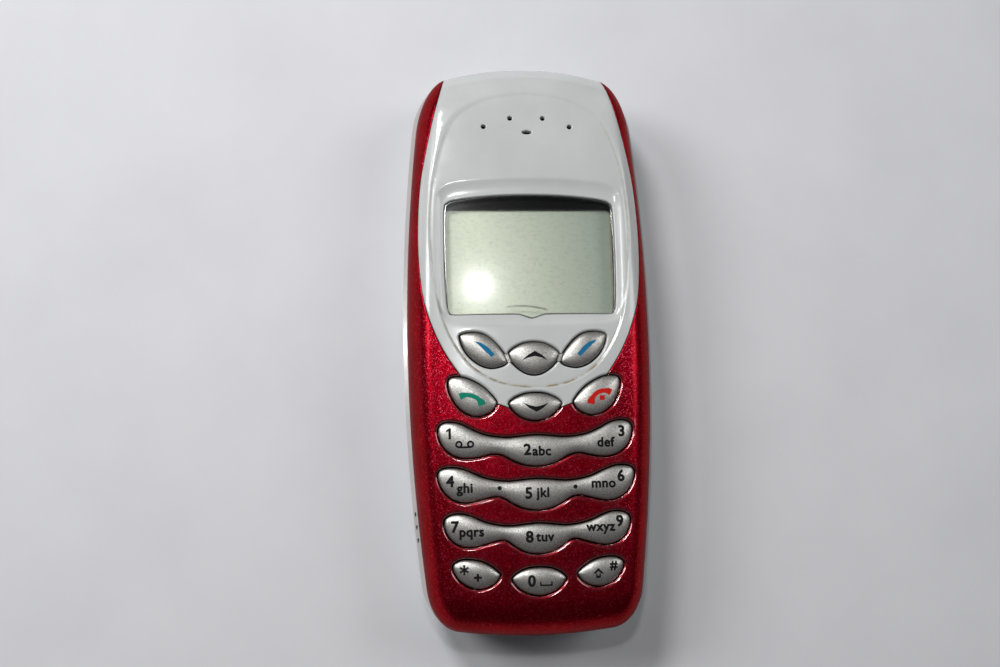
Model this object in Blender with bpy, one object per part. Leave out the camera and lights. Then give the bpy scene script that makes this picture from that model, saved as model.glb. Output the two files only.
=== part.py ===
"""Early mobile brick phone, lying on its back: every piece as its own closed object.

Sizes are in millimetres and mesh_object() scales them to metres. +Y runs towards the earpiece,
+Z out of the front, and the origin is the middle of the flat back that the phone rests on.
Run with blender --background --python part.py, or from the text editor.
"""

import math

import bpy
import numpy as np
from mathutils.geometry import delaunay_2d_cdt

MM = 0.001

# ---------------------------------------------------------------- driving sizes
LENGTH = 115.0
WIDTH = 50.0
PARTING = 11.5          # height of the plane between the front and rear covers
CROWN = 22.3            # highest point of the front skin
WALL = 1.6              # thickness of the front cover and the face plate
REAR_WALL = 1.4
REAR_STEP = 0.8         # how far the rear cover stands out past the front cover at the sides
SIDE_BOW = 0.00127      # how the sides bow: half-width lost per square millimetre of length
WIDEST_Y = 2.0
PLAN_GAP = 0.3          # air left between neighbouring pieces
KEY_GAP = 0.35
KEY_PROUD = 0.55        # how far a key stands out of the front skin

# Heights of the inner pieces
BATTERY = (2.3, 7.7)
FLOOR = (8.0, 9.0)
BOARD = (12.2, 13.2)
DOMES = (13.45, 13.6)
WEB = (14.5, 15.2)
KEY_FOOT = 16.2
PLUNGER_FOOT = 14.9
LIGHT_GUIDE = (13.8, 15.3)
GLASS = (15.6, 17.4)
FRAME_TOP = 18.0
PANE_TOP = 21.3         # the display window's highest point, over PANE_MIDDLE on the centre line
PANE_MIDDLE = 15.0
PANE_RADIUS = 140.0
PANE_THICK = 1.0

POWER_Z = 14.0          # middle of the power key in the top end
POWER_SUNK = 0.05       # how far its face lies under the skin
SOCKET_Z = 8.5          # middle of the charger socket in the bottom end
SOCKET_HOLE = [(1.9, -59.5), (1.9, -54.0)]      # the covers' cut around it: radius and y
ROLL_SHARES = (0.985, 0.93, 0.8, 0.6, 0.3)

SCREWS = ((17.3, 22.0), (13.6, 49.6), (16.2, -47.6))    # each also at -X


# ---------------------------------------------------------------- plan outlines
def spline(points, steps):
    """A closed Catmull-Rom curve through the points, with steps samples between two of them."""
    p = np.array(points, float)
    before, after, beyond = np.roll(p, 1, 0), np.roll(p, -1, 0), np.roll(p, -2, 0)
    rows = []
    for t in np.arange(steps) / steps:
        rows.append(
            0.5 * (2 * p + (after - before) * t
                   + (2 * before - 5 * p + 4 * after - beyond) * t ** 2
                   + (3 * p - before - 3 * after + beyond) * t ** 3))
    return np.stack(rows, 1).reshape(-1, 2)


def mirrored(half):
    """A closed outline from its -X half, given from the top centre round to the bottom centre."""
    return half + [(-x, y) for x, y in reversed(half) if x != 0]


def flipped(points):
    """The same outline on the other side of the phone."""
    return [(-x, y) for x, y in reversed(points)]


def circle(x, y, r, steps=12):
    a = np.arange(steps) * 2 * math.pi / steps
    return np.stack([x + r * np.cos(a), y + r * np.sin(a)], 1)


def box(x0, x1, y0, y1, r=0.0, steps=3):
    """A rectangle, with corners of radius r."""
    if r == 0:
        return np.array([(x0, y0), (x1, y0), (x1, y1), (x0, y1)], float)
    a = np.linspace(0, math.pi / 2, steps + 1)
    corners = ((x1 - r, y1 - r, 0), (x0 + r, y1 - r, 1), (x0 + r, y0 + r, 2), (x1 - r, y0 + r, 3))
    return np.concatenate([
        np.stack([x + r * np.cos(a + k * math.pi / 2), y + r * np.sin(a + k * math.pi / 2)], 1)
        for x, y, k in corners])


def offset(loop, d):
    """The loop moved outwards by d."""
    along = np.roll(loop, -1, 0) - np.roll(loop, 1, 0)
    along /= np.linalg.norm(along, axis=1)[:, None] + 1e-12
    x, y = loop[:, 0], loop[:, 1]
    turn = np.sign(np.sum(x * np.roll(y, -1) - np.roll(x, -1) * y))
    return loop + turn * d * np.stack([along[:, 1], -along[:, 0]], 1)


def inside(loop, points):
    """Whether each point lies inside the loop."""
    x, y = points[:, 0][:, None], points[:, 1][:, None]
    ax, ay = loop[:, 0], loop[:, 1]
    bx, by = np.roll(ax, -1), np.roll(ay, -1)
    crosses = (ay > y) != (by > y)
    at = ax + (y - ay) * (bx - ax) / np.where(by == ay, 1e-12, by - ay)
    return (np.sum(crosses & (x < at), 1) % 2).astype(bool)


def distance(loop, points):
    """Distance from each point to the loop."""
    a, b = loop, np.roll(loop, -1, 0)
    ab = b - a
    t = np.einsum("pnk,nk->pn", points[:, None] - a, ab) / (np.sum(ab ** 2, 1) + 1e-12)
    near = a + np.clip(t, 0, 1)[..., None] * ab
    return np.linalg.norm(points[:, None] - near, axis=2).min(1)


# Outlines of the keys, as points on the left half or on the left key
SOFT_KEY = [
    (-13.9, -0.35), (-12.0, 0.0), (-10.0, -0.25), (-8.4, -1.15), (-7.0, -2.55), (-6.0, -3.85),
    (-5.75, -4.3), (-5.3, -5.5), (-5.4, -5.95), (-6.4, -6.5), (-8.2, -6.8), (-10.0, -6.35),
    (-11.6, -5.3), (-12.9, -3.9), (-13.7, -2.4), (-14.1, -1.0)]
CALL_KEY = [
    (-16.3, -8.95), (-15.2, -8.6), (-13.5, -8.75), (-11.8, -9.45), (-10.0, -10.55), (-8.5, -12.0),
    (-7.5, -13.35), (-7.5, -13.9), (-8.2, -14.95), (-9.4, -15.7), (-11.0, -16.05), (-12.9, -15.6),
    (-14.7, -14.2), (-15.9, -12.3), (-16.5, -10.3)]
STAR_KEY = [
    (-15.9, -43.7), (-14.6, -43.05), (-13.0, -43.0), (-11.0, -43.35), (-9.2, -44.2), (-7.7, -45.4),
    (-7.4, -46.0), (-8.3, -47.2), (-9.8, -48.0), (-11.5, -48.25), (-13.4, -47.7), (-15.0, -46.5),
    (-16.0, -44.8)]
UP_KEY = mirrored([
    (0, -2.0), (-2.0, -2.25), (-3.7, -3.05), (-4.7, -3.9), (-4.8, -4.35), (-4.35, -5.55),
    (-4.0, -6.0), (-2.9, -7.05), (-1.5, -7.9), (0, -8.2)])
DOWN_KEY = mirrored([
    (0, -11.85), (-2.0, -12.05), (-3.8, -12.75), (-4.8, -13.5), (-4.95, -13.95), (-4.1, -15.2),
    (-2.3, -16.5), (0, -17.0)])
ZERO_KEY = mirrored([
    (0, -44.65), (-2.2, -44.85), (-4.0, -45.6), (-4.95, -46.45), (-4.95, -46.9), (-3.9, -48.2),
    (-2.1, -49.3), (0, -49.7)])
BARS = (
    mirrored([
        (0, -19.95), (-2.5, -20.1), (-5.2, -20.35), (-7.6, -20.2), (-10.0, -19.7), (-12.3, -18.7),
        (-14.5, -17.6), (-16.5, -17.25), (-18.0, -17.6), (-18.55, -18.7), (-18.2, -20.6),
        (-17.2, -22.2), (-15.6, -23.4), (-13.5, -23.95), (-11.0, -23.75), (-8.4, -23.2),
        (-6.3, -23.55), (-4.3, -24.6), (-2.2, -25.4), (0, -25.65)]),
    mirrored([
        (0, -28.2), (-2.5, -28.35), (-5.4, -28.6), (-8.0, -28.35), (-10.4, -27.75), (-12.8, -26.7),
        (-14.8, -26.0), (-16.7, -25.85), (-18.2, -26.2), (-18.7, -27.2), (-18.3, -28.9),
        (-17.2, -30.6), (-15.6, -31.8), (-13.4, -32.25), (-10.8, -31.8), (-8.2, -31.2),
        (-6.3, -31.55), (-4.4, -32.7), (-2.2, -33.6), (0, -33.85)]),
    mirrored([
        (0, -36.5), (-2.5, -36.7), (-5.2, -36.95), (-7.8, -36.7), (-10.2, -36.05), (-12.4, -35.1),
        (-14.3, -34.55), (-16.0, -34.6), (-17.3, -35.2), (-17.6, -36.4), (-17.0, -38.2),
        (-15.8, -39.6), (-14.2, -40.35), (-12.2, -40.5), (-9.6, -39.9), (-7.2, -39.3),
        (-5.7, -39.6), (-4.0, -40.8), (-2.0, -41.75), (0, -42.0)]),
)
BAR_WAIST = 7.4         # where a three-digit bar is cut into its keys, either side of the middle
BRIDGE = [(-6.3, -3.6), (-4.6, -3.6), (-3.9, -6.2), (-5.7, -6.2)]   # between a soft key and the up key

# Where the pale face plate meets the coloured front cover
FACE_EDGE = mirrored([
    (0, 62.0), (-14.6, 60.0), (-15.5, 57.0), (-16.3, 53.6), (-17.5, 48.6), (-18.7, 43.9),
    (-19.8, 39.0), (-20.6, 35.0), (-21.3, 31.0), (-21.75, 26.0), (-21.95, 21.0), (-21.9, 16.0),
    (-21.65, 12.0), (-21.2, 8.0), (-20.4, 4.3), (-19.0, 0.3), (-17.9, -2.2), (-16.6, -4.6),
    (-15.2, -6.8), (-13.6, -9.0), (-11.5, -11.3), (-9.3, -12.9), (-7.2, -13.8), (-5.0, -14.6),
    (-2.5, -15.1), (0, -15.3)])
WINDOW = mirrored([
    (0, 28.0), (-6.0, 27.85), (-11.0, 27.45), (-14.8, 26.95), (-16.2, 26.4), (-16.8, 25.2),
    (-16.95, 20.0), (-16.9, 12.0), (-16.65, 6.0), (-16.3, 4.4), (-15.4, 3.7), (-10.0, 3.65),
    (-3.4, 3.6), (-2.2, 3.45), (-1.0, 3.05), (0, 2.8)])
EAR_HOLES = ((-8.65, 42.1), (-3.3, 43.9), (3.3, 43.9), (8.65, 42.1))
EAR_SLOT = (0.0, 40.9, 1.0, 0.45)        # middle, then half-length and half-height


# ---------------------------------------------------------------- the two covers' outer skins
class Skin:
    """A rounded cover: its plan outline, and how its skin rolls over at the edges.

    At a point, u and v say how far it has come into the roll at the nearer side and end, from 0
    to 1, and the outline is where u and v, each to the power BEND, add up to 1.
    """

    BEND = 2.2

    def __init__(self, half_width, top, bottom, side_roll, top_roll, bottom_roll):
        self.half_width, self.top, self.bottom = half_width, top, bottom
        self.side_roll, self.top_roll, self.bottom_roll = side_roll, top_roll, bottom_roll

    def reach(self, y):
        return self.half_width - SIDE_BOW * (y - WIDEST_Y) ** 2

    def end(self, x, upper):
        """How far the top or bottom end reaches at x: each is an arc."""
        return np.where(upper, self.top - x ** 2 / 114, self.bottom - x ** 2 / 220)

    def edge(self, x, y):
        """0 on the middle of the skin, 1 on its outline, more outside."""
        upper = y > 0
        roll = np.where(upper, self.top_roll, self.bottom_roll)
        u = np.maximum(0, 1 - (self.reach(y) - np.abs(x)) / self.side_roll)
        v = np.maximum(0, 1 - (self.end(x, upper) - np.abs(y)) / roll)
        return u ** self.BEND + v ** self.BEND

    def rise(self, x, y):
        """The share of its full height that the skin has at a point."""
        return np.maximum(0, 1 - self.edge(x, y)) ** (1 / self.BEND)

    def ring(self, share, side=8, corner=6, end=4):
        """The closed curve on which u and v are this share of what they are on the outline."""
        def quarter(upper):
            roll = self.top_roll if upper else self.bottom_roll
            turn = np.linspace(0, math.pi / 2, corner + 1)
            u = np.cos(turn).clip(0) ** (2 / self.BEND) * share
            v = np.sin(turn).clip(0) ** (2 / self.BEND) * share
            x, y = np.full(corner + 1, self.half_width - self.side_roll), np.full(corner + 1, 40.0)
            for _ in range(30):
                y = self.end(x, upper) - roll * (1 - v)
                x = self.reach(y if upper else -y) - self.side_roll * (1 - u)
            straight_y = np.linspace(0, y[0], side + 1)[:-1]
            straight_x = self.reach(straight_y if upper else -straight_y)
            straight_x = straight_x - self.side_roll * (1 - share)
            across = np.linspace(x[-1], 0, end + 1)[1:]
            over = self.end(across, upper) - roll * (1 - share)
            xs = np.concatenate([straight_x, x, across])
            ys = np.concatenate([straight_y, y, over])
            return np.stack([xs, ys if upper else -ys], 1)

        top, bottom = quarter(True), quarter(False)
        flip = np.array([-1, 1])
        return np.concatenate([top, (top * flip)[-2::-1], (bottom * flip)[1:], bottom[-2:0:-1]])


FRONT = Skin(WIDTH / 2 - REAR_STEP, 57.1, LENGTH / 2, 5.0, 10.0, 7.0)
FRONT_INNER = Skin(WIDTH / 2 - REAR_STEP - WALL, 57.1 - WALL, LENGTH / 2 - WALL, 4.2, 9.0, 6.0)
REAR = Skin(WIDTH / 2, LENGTH / 2, LENGTH / 2, 7.0, 9.0, 8.0)
REAR_INNER = Skin(WIDTH / 2 - REAR_WALL, LENGTH / 2 - REAR_WALL, LENGTH / 2 - REAR_WALL, 6.2, 8.0, 7.0)


def crown(x, y):
    """The front's gently arched face, before its edges roll over."""
    return CROWN - 3.0 * np.abs(y / 57.5) ** 2.2 - 2.0 * np.abs(x / 25) ** 3


def front_skin(x, y):
    return PARTING + (crown(x, y) - PARTING) * FRONT.rise(x, y)


def front_inner(x, y):
    return PARTING + (crown(x, y) - WALL - PARTING) * FRONT_INNER.rise(x, y)


def rear_skin(x, y):
    return PARTING * (1 - REAR.rise(x, y))


def rear_inner(x, y):
    return PARTING - (PARTING - REAR_WALL) * REAR_INNER.rise(x, y)


# ---------------------------------------------------------------- building closed pieces
MATERIALS = {
    "red_paint": ((0.42, 0.004, 0.02), 0.25, 0.5),
    "pale_plastic": ((0.62, 0.65, 0.63), 0.2, 0.0),
    "silver_key": ((0.55, 0.55, 0.53), 0.35, 0.7),
    "clear_window": ((0.75, 0.8, 0.75), 0.05, 0.0),
    "lcd_green": ((0.45, 0.52, 0.42), 0.15, 0.0),
    "black_plastic": ((0.02, 0.02, 0.022), 0.5, 0.0),
    "grey_rubber": ((0.2, 0.2, 0.21), 0.7, 0.0),
    "circuit_green": ((0.02, 0.12, 0.05), 0.4, 0.0),
    "steel": ((0.55, 0.55, 0.55), 0.3, 1.0),
    "brass": ((0.7, 0.5, 0.2), 0.3, 1.0),
}


def material(name):
    found = bpy.data.materials.get(name)
    if found:
        return found
    made = bpy.data.materials.new(name)
    made.use_nodes = True
    shader = made.node_tree.nodes["Principled BSDF"]
    colour, roughness, metallic = MATERIALS[name]
    shader.inputs["Base Color"].default_value = (*colour, 1)
    shader.inputs["Roughness"].default_value = roughness
    shader.inputs["Metallic"].default_value = metallic
    return made


def volume(points, faces):
    """The volume inside a closed mesh: negative where its faces look inwards."""
    fans = [(f[0], f[i], f[i + 1]) for f in faces for i in range(1, len(f) - 1)]
    a, b, c = np.moveaxis(points[np.array(fans)], 1, 0)
    return np.sum(a * np.cross(b, c)) / 6


def mesh_object(name, points, faces, finish, origin=(0, 0, 0)):
    """An object from millimetre points in the phone's frame, with its origin where given."""
    points, origin = np.array(points, float), np.array(origin, float)
    if volume(points, faces) < 0:
        faces = [tuple(f)[::-1] for f in faces]
    mesh = bpy.data.meshes.new(name)
    mesh.from_pydata([tuple(p) for p in (points - origin) * MM], [], [tuple(f) for f in faces])
    mesh.validate()
    mesh.shade_smooth()
    mesh.set_sharp_from_angle(angle=math.radians(35))
    mesh.materials.append(material(finish))
    obj = bpy.data.objects.new(name, mesh)
    obj.location = origin * MM
    bpy.context.scene.collection.objects.link(obj)
    return obj


def plan(loops, keep, fill=()):
    """Triangles over the part of the plane that keep() is true for, with the loops as edges."""
    rows, edges = [], []
    for loop in loops:
        start = sum(len(r) for r in rows)
        rows.append(loop)
        edges += [(start + i, start + (i + 1) % len(loop)) for i in range(len(loop))]
    if len(fill):
        clear = np.min([distance(loop, fill) for loop in loops], 0) > 0.25
        rows.append(fill[clear])
    points = np.concatenate(rows)
    verts, _, faces, *_ = delaunay_2d_cdt([tuple(p) for p in points], edges, [], 0, 1e-5)
    verts = np.array([tuple(v) for v in verts])
    faces = np.array([tuple(f) for f in faces])
    faces = faces[keep(verts[faces].mean(1))]
    used, index = np.unique(faces, return_inverse=True)
    return verts[used], index.reshape(faces.shape)


def boundary(faces):
    """The directed edges that only one triangle has."""
    ends = np.concatenate([faces[:, [0, 1]], faces[:, [1, 2]], faces[:, [2, 0]]])
    seen = {tuple(e) for e in ends}
    return [e for e in seen if (e[1], e[0]) not in seen]


def border_loops(points, faces):
    """The closed loops around the triangles' outside and holes."""
    follow = dict(boundary(faces))
    loops = []
    while follow:
        loop = [next(iter(follow))]
        while loop[-1] in follow:
            loop.append(follow.pop(loop[-1]))
        loops.append(points[loop[:-1]])
    return loops


def shell_plans(loops, keep, skin, inner_skin, spacing, border=()):
    """Plans for a shell's two sides, with the same border: the outer bends along the skin's rings."""
    rings = [skin.ring(share) for share in ROLL_SHARES]
    outer = plan(loops + rings, keep, np.concatenate([*border, grid(spacing)]))
    points = [inner_skin.ring(share) for share in (1, *ROLL_SHARES)]
    inner = plan(border_loops(*outer), keep, np.concatenate([*points, *border, grid(9)]))
    return outer, inner


def slab(name, top_plan, top, bottom, finish, bottom_plan=None, origin=(0, 0, 0)):
    """A closed piece between two heights over a plan, each a function of x and y or a number."""
    bottom_plan = bottom_plan or top_plan
    sheets = []
    for (points, faces), height in ((top_plan, top), (bottom_plan, bottom)):
        z = height(points[:, 0], points[:, 1]) if callable(height) else np.full(len(points), height)
        sheets.append(np.column_stack([points, z]))
    upper, lower = sheets
    start = len(upper)
    spot = {tuple(np.round(p, 3)): i + start for i, p in enumerate(bottom_plan[0])}
    below = {i: spot.get(tuple(np.round(top_plan[0][i], 3))) for e in boundary(top_plan[1]) for i in e}
    faces = [tuple(f) for f in top_plan[1]] + [tuple(f[::-1] + start) for f in bottom_plan[1]]
    for a, b in boundary(top_plan[1]):
        faces.append((b, a, below[a]))
        faces.append((b, below[a], below[b]))
    return mesh_object(name, np.concatenate([upper, lower]), faces, finish, origin)


def grid(spacing, x_reach=26, y_reach=58):
    xs, ys = np.arange(-x_reach, x_reach + 0.01, spacing), np.arange(-y_reach, y_reach + 0.01, spacing)
    x, y = np.meshgrid(xs, ys)
    return np.stack([x.ravel() + (y.ravel() / spacing % 2) * spacing * 0.37, y.ravel()], 1)


def flat_piece(name, loops, z, finish, origin=(0, 0, 0)):
    """A flat plate between two heights: the first loop is its outline and the others are holes."""
    def keep(p):
        kept = inside(loops[0], p)
        for hole in loops[1:]:
            kept &= ~inside(hole, p)
        return kept
    return slab(name, plan(loops, keep), z[1], z[0], finish, origin=origin)


def turned(name, profile, axis, centre, finish, steps=14):
    """A round piece: (radius, along) pairs from one end of its axis to the other, both on it."""
    rings = [(r, s) for r, s in profile if r > 0]
    turn = np.arange(steps) * 2 * math.pi / steps
    points = [(r * math.cos(a), r * math.sin(a), s) for r, s in rings for a in turn]
    faces = []
    for k in range(len(rings) - 1):
        for i in range(steps):
            j = (i + 1) % steps
            faces.append((k * steps + i, k * steps + j, (k + 1) * steps + j, (k + 1) * steps + i))
    faces.append(tuple(range(steps))[::-1])
    faces.append(tuple(range((len(rings) - 1) * steps, len(rings) * steps)))
    points = np.array(points)
    if axis == "X":
        points = points[:, [2, 0, 1]]
    elif axis == "Y":
        points = points[:, [1, 2, 0]]
    return mesh_object(name, points + np.array(centre, float), faces, finish, centre)


def cut(obj, cutter):
    """Takes the cutter's shape out of the object, and hides the cutter."""
    cutter.hide_render = True
    cutter.display_type = "WIRE"
    modifier = obj.modifiers.new("cut_" + cutter.name, "BOOLEAN")
    modifier.operation = "DIFFERENCE"
    modifier.solver = "EXACT"
    modifier.object = cutter


def block(name, x, y, z, finish):
    return flat_piece(name, [box(*x, *y)], z, finish, ((x[0] + x[1]) / 2, (y[0] + y[1]) / 2, z[0]))


# ---------------------------------------------------------------- holes for the keys
def key_outlines(steps=1):
    """Each key's name, its outline and the spot that its plunger presses."""
    return {
        "key_soft_left": (spline(SOFT_KEY, steps), (-10.0, -3.3)),
        "key_soft_right": (spline(flipped(SOFT_KEY), steps), (10.0, -3.3)),
        "key_up": (spline(UP_KEY, steps), (0, -5.0)),
        "key_call": (spline(CALL_KEY, steps), (-12.2, -12.4)),
        "key_end": (spline(flipped(CALL_KEY), steps), (12.2, -12.4)),
        "key_down": (spline(DOWN_KEY, steps), (0, -14.4)),
        "key_star": (spline(STAR_KEY, steps), (-11.8, -45.6)),
        "key_0": (spline(ZERO_KEY, steps), (0, -47.1)),
        "key_hash": (spline(flipped(STAR_KEY), steps), (11.8, -45.6)),
    }


def bar_plungers(row):
    middle = np.mean([y for _, y in BARS[row]])
    return ((-13.6, middle), (0, middle - 0.6), (13.6, middle))


def key_holes(steps=1):
    """The openings in the front that the keys stand in, as outlines that may run together."""
    loops = [offset(outline, KEY_GAP) for outline, _ in key_outlines(steps).values()]
    loops += [offset(spline(bar, steps), KEY_GAP) for bar in BARS]
    loops += [np.array(BRIDGE), np.array(flipped(BRIDGE))]
    return loops


def outside_all(loops, points):
    clear = np.ones(len(points), bool)
    for loop in loops:
        clear &= ~inside(loop, points)
    return clear


# ---------------------------------------------------------------- outer pieces
def front_cover():
    """The coloured shell: its two arms run up beside the face plate to the top corners."""
    outline, opening = FRONT.ring(1), offset(spline(FACE_EDGE, 1), PLAN_GAP / 2)
    holes = key_holes()

    def keep(p):
        return inside(outline, p) & ~inside(opening, p) & outside_all(holes, p)

    outer, inner = shell_plans([outline, opening, *holes], keep, FRONT, FRONT_INNER, 6.5)
    cover = slab("front_cover", outer, lip(front_skin, 0.5), front_inner, "red_paint", inner)
    notch_height = PARTING - 1.1
    cut(cover, turned("charger_notch", SOCKET_HOLE, "Y", (0, 0, notch_height), "red_paint"))
    return cover


def lip(skin, height):
    """The skin, ending in a short upright edge above the parting plane."""
    return lambda x, y: np.maximum(skin(x, y), PARTING + height)


def face_plate():
    """The pale plate around the display. It wraps over the top end down to the parting plane."""
    outline, edge = FRONT.ring(1), offset(spline(FACE_EDGE, 1), -PLAN_GAP / 2)
    holes = key_holes() + [spline(WINDOW, 1)]
    holes += [circle(x, y, 0.5, 8) for x, y in EAR_HOLES]
    x, y, a, b = EAR_SLOT
    holes.append(circle(0, 0, 1, 10) * (a, b) + (x, y))

    def keep(p):
        return inside(outline, p) & inside(edge, p) & outside_all(holes, p)

    border = [offset(edge, -0.9), offset(edge, -2.2)]
    outer, inner = shell_plans([outline, edge, *holes], keep, FRONT, FRONT_INNER, 6.5, border)
    plate = slab("face_plate", outer, lip(front_skin, 0.5), front_inner, "pale_plastic", inner)
    cut(plate, stadium_prism("power_hole", 5.35, 1.75, 50.0, lambda z: 60.0, "pale_plastic"))
    return plate


def stadium_prism(name, half_width, half_height, y0, end, finish):
    """A rounded bar along Y, centred on the power key: end gives its far y at a height."""
    profile = box(-half_width, half_width, -half_height, half_height, half_height, 4) + (0, POWER_Z)
    near = [(x, y0, z) for x, z in profile]
    far = [(x, end(z), z) for x, z in profile]
    n = len(profile)
    faces = [tuple(range(n))[::-1]]
    for i in range(n):
        j = (i + 1) % n
        faces += [(i, j, j + n, i + n), (i + n, j + n, 2 * n)]
    points = np.array([*near, *far, (0, end(POWER_Z), POWER_Z)])
    return mesh_object(name, points, faces, finish, (0, y0, POWER_Z))


def top_end_at(z):
    """How far the front's skin reaches towards the top end at a height."""
    share = (z - PARTING) / (crown(0, 57) - PARTING)
    return FRONT.top - FRONT.top_roll * (1 - (1 - share ** FRONT.BEND) ** (1 / FRONT.BEND))


def display_window():
    """The clear window: a shallow dome in the plate's opening."""
    edge = offset(spline(WINDOW, 1), -PLAN_GAP)
    shape = plan([edge], lambda p: inside(edge, p), grid(6))

    def dome(x, y):
        return PANE_TOP - (x ** 2 + (y - PANE_MIDDLE) ** 2) / (2 * PANE_RADIUS)

    return slab("display_window", shape, dome, lambda x, y: dome(x, y) - PANE_THICK, "clear_window")


BUTTON = (0.0, -48.6, 4.6, 1.8)         # middle, then half-length and half-height in plan
SOUND_HOLES = (-34.0, -36.5, -39.0)


def button_oval(grow, steps=20):
    x, y, a, b = BUTTON
    return circle(0, 0, 1, steps) * (a + grow, b + grow) + (x, y)


def rear_cover():
    """The back: an open-topped tub, with a hole for the button, a gap for the connector and sound slots."""
    outline, hole = REAR.ring(1), button_oval(PLAN_GAP)

    def keep(p):
        return inside(outline, p) & ~inside(hole, p)

    rim = PARTING - 0.3
    outer, inner = shell_plans([outline, hole], keep, REAR, REAR_INNER, 9)
    cover = slab("rear_cover", inner, lambda x, y: np.minimum(rear_inner(x, y), rim),
                 lambda x, y: np.minimum(rear_skin(x, y), rim - 0.6), "pale_plastic", outer)
    cut(cover, block("connector_gap", (-12.5, 12.5), (-60, -53), (5.4, 14), "pale_plastic"))
    cut(cover, turned("charger_notch_rear", SOCKET_HOLE, "Y", (0, 0, SOCKET_Z), "pale_plastic"))
    bore = [(0.24, rim - 1.2), (0.24, rim + 1)]
    for i, y in enumerate(SOUND_HOLES):
        middle_of_step = REAR_STEP / 2 - REAR.reach(y)
        cut(cover, turned(f"sound_hole_{i}", bore, "Z", (middle_of_step, y, 0), "pale_plastic", 8))
    return cover


def release_button():
    """The oval button in the back cover, with a wider flange inside that keeps it in its hole."""
    face, flange = button_oval(0), button_oval(0.7)
    rim = button_oval(0.05)

    def under(x, y):
        return np.where(inside(button_oval(0.02), np.stack([x, y], 1)), 0.35, 1.95)

    shape = plan([face, rim, flange], lambda p: inside(flange, p))
    return slab("release_button", shape, 2.7, under, "grey_rubber", origin=(*BUTTON[:2], 0.35))


def power_key():
    """The rubber power key in the top end."""
    return stadium_prism("power_key", 5.0, 1.4, 53.4, lambda z: top_end_at(z) - POWER_SUNK, "grey_rubber")


# ---------------------------------------------------------------- keypad
def key_top(outline, proud):
    """A key's face: the front skin with a pillow-like dome on it."""
    def height(x, y):
        p = np.stack([x, y], 1)
        share = np.clip(distance(outline, p) / 1.8, 0, 1)
        return crown(x, y) + proud * (2 * share - share ** 2) ** 0.5 - 0.25
    return height


def key(name, outline, spot, keep=None, cuts=()):
    """One key: its domed cap, and under it a round plunger."""
    plunger, waist = circle(*spot, 1.5, 10), circle(*spot, 1.56, 10)
    keep = keep or (lambda p: inside(outline, p))
    fill = np.concatenate([offset(outline, -0.5), offset(outline, -1.3)])
    fill = fill[inside(outline, fill) & (distance(outline, fill) > 0.4)]
    if len(cuts):
        fill = fill[keep(fill)]

    def foot(x, y):
        low = distance(np.array([spot]), np.stack([x, y], 1)) < 1.53
        return np.where(low, PLUNGER_FOOT, KEY_FOOT)

    top_plan = plan([outline, *cuts], keep, fill)
    bottom_plan = plan([outline, *cuts, plunger, waist], keep)
    return slab(name, top_plan, key_top(outline, KEY_PROUD + 0.25), foot, "silver_key", bottom_plan,
                origin=(*spot, KEY_FOOT))


def keys():
    for name, (outline, spot) in key_outlines().items():
        key(name, outline, spot)
    for row, bar in enumerate(BARS):
        outline = spline(bar, 1)
        half = PLAN_GAP / 2
        low, high = outline[:, 1].min() - 1, outline[:, 1].max() + 1
        strips = (box(-30, -BAR_WAIST - half, low, high),
                  box(-BAR_WAIST + half, BAR_WAIST - half, low, high),
                  box(BAR_WAIST + half, 30, low, high))
        for column, (strip, spot) in enumerate(zip(strips, bar_plungers(row))):
            def keep(p, strip=strip):
                return inside(outline, p) & inside(strip, p)
            key(f"key_{3 * row + column + 1}", outline, spot, keep, [strip])


def plunger_spots():
    spots = [spot for _, spot in key_outlines().values()]
    for row in range(3):
        spots += bar_plungers(row)
    return spots


KEYPAD = np.array(mirrored([
    (0, 0.4), (-18.8, 0.4), (-18.8, -30.0), (-17.2, -42.0), (-14.6, -48.6), (-12.6, -50.2), (0, -50.2)]))


def keypad_web():
    """The rubber mat that carries the keys, with a clearance hole around each plunger."""
    holes = [circle(x, y, 1.9, 8) for x, y in plunger_spots()]
    return flat_piece("keypad_web", [KEYPAD, *holes], WEB, "grey_rubber")


def dome_sheet():
    """The sheet of snap domes on the board, one under each plunger."""
    rings = [circle(x, y, r, 8) for x, y in plunger_spots() for r in (2.0, 1.2)]
    shape = plan([KEYPAD, *rings], lambda p: inside(KEYPAD, p))
    spots = np.array(plunger_spots())

    def top(x, y):
        away = np.linalg.norm(np.stack([x, y], 1)[:, None] - spots, axis=2).min(1)
        return DOMES[1] + 0.3 * np.clip((2.0 - away) / 0.8, 0, 1)

    flat = plan([KEYPAD], lambda p: inside(KEYPAD, p))
    return slab("dome_sheet", shape, top, DOMES[0], "steel", flat)


# ---------------------------------------------------------------- display
DISPLAY_X = 18.0
DISPLAY_Y = (1.0, 30.4)
VIEW_AREA = box(-16.75, 16.75, 2.1, 25.6, 1.2)


def display_frame():
    """The black frame that holds the display, with a lip around what is seen."""
    outer = box(-DISPLAY_X - 0.8, DISPLAY_X + 0.8, DISPLAY_Y[0], DISPLAY_Y[1] + 0.8, 1.5)
    pocket = box(-DISPLAY_X, DISPLAY_X, DISPLAY_Y[0] + 1.1, DISPLAY_Y[1])
    wall = offset(pocket, 0.05)
    shape = plan([outer, pocket, wall, VIEW_AREA], lambda p: inside(outer, p) & ~inside(VIEW_AREA, p))

    def foot(x, y):
        under_lip = inside(offset(pocket, 0.02), np.stack([x, y], 1))
        return np.where(under_lip, GLASS[1] + 0.3, BOARD[1] + 0.3)

    return slab("display_frame", shape, FRAME_TOP, foot, "black_plastic")


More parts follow.
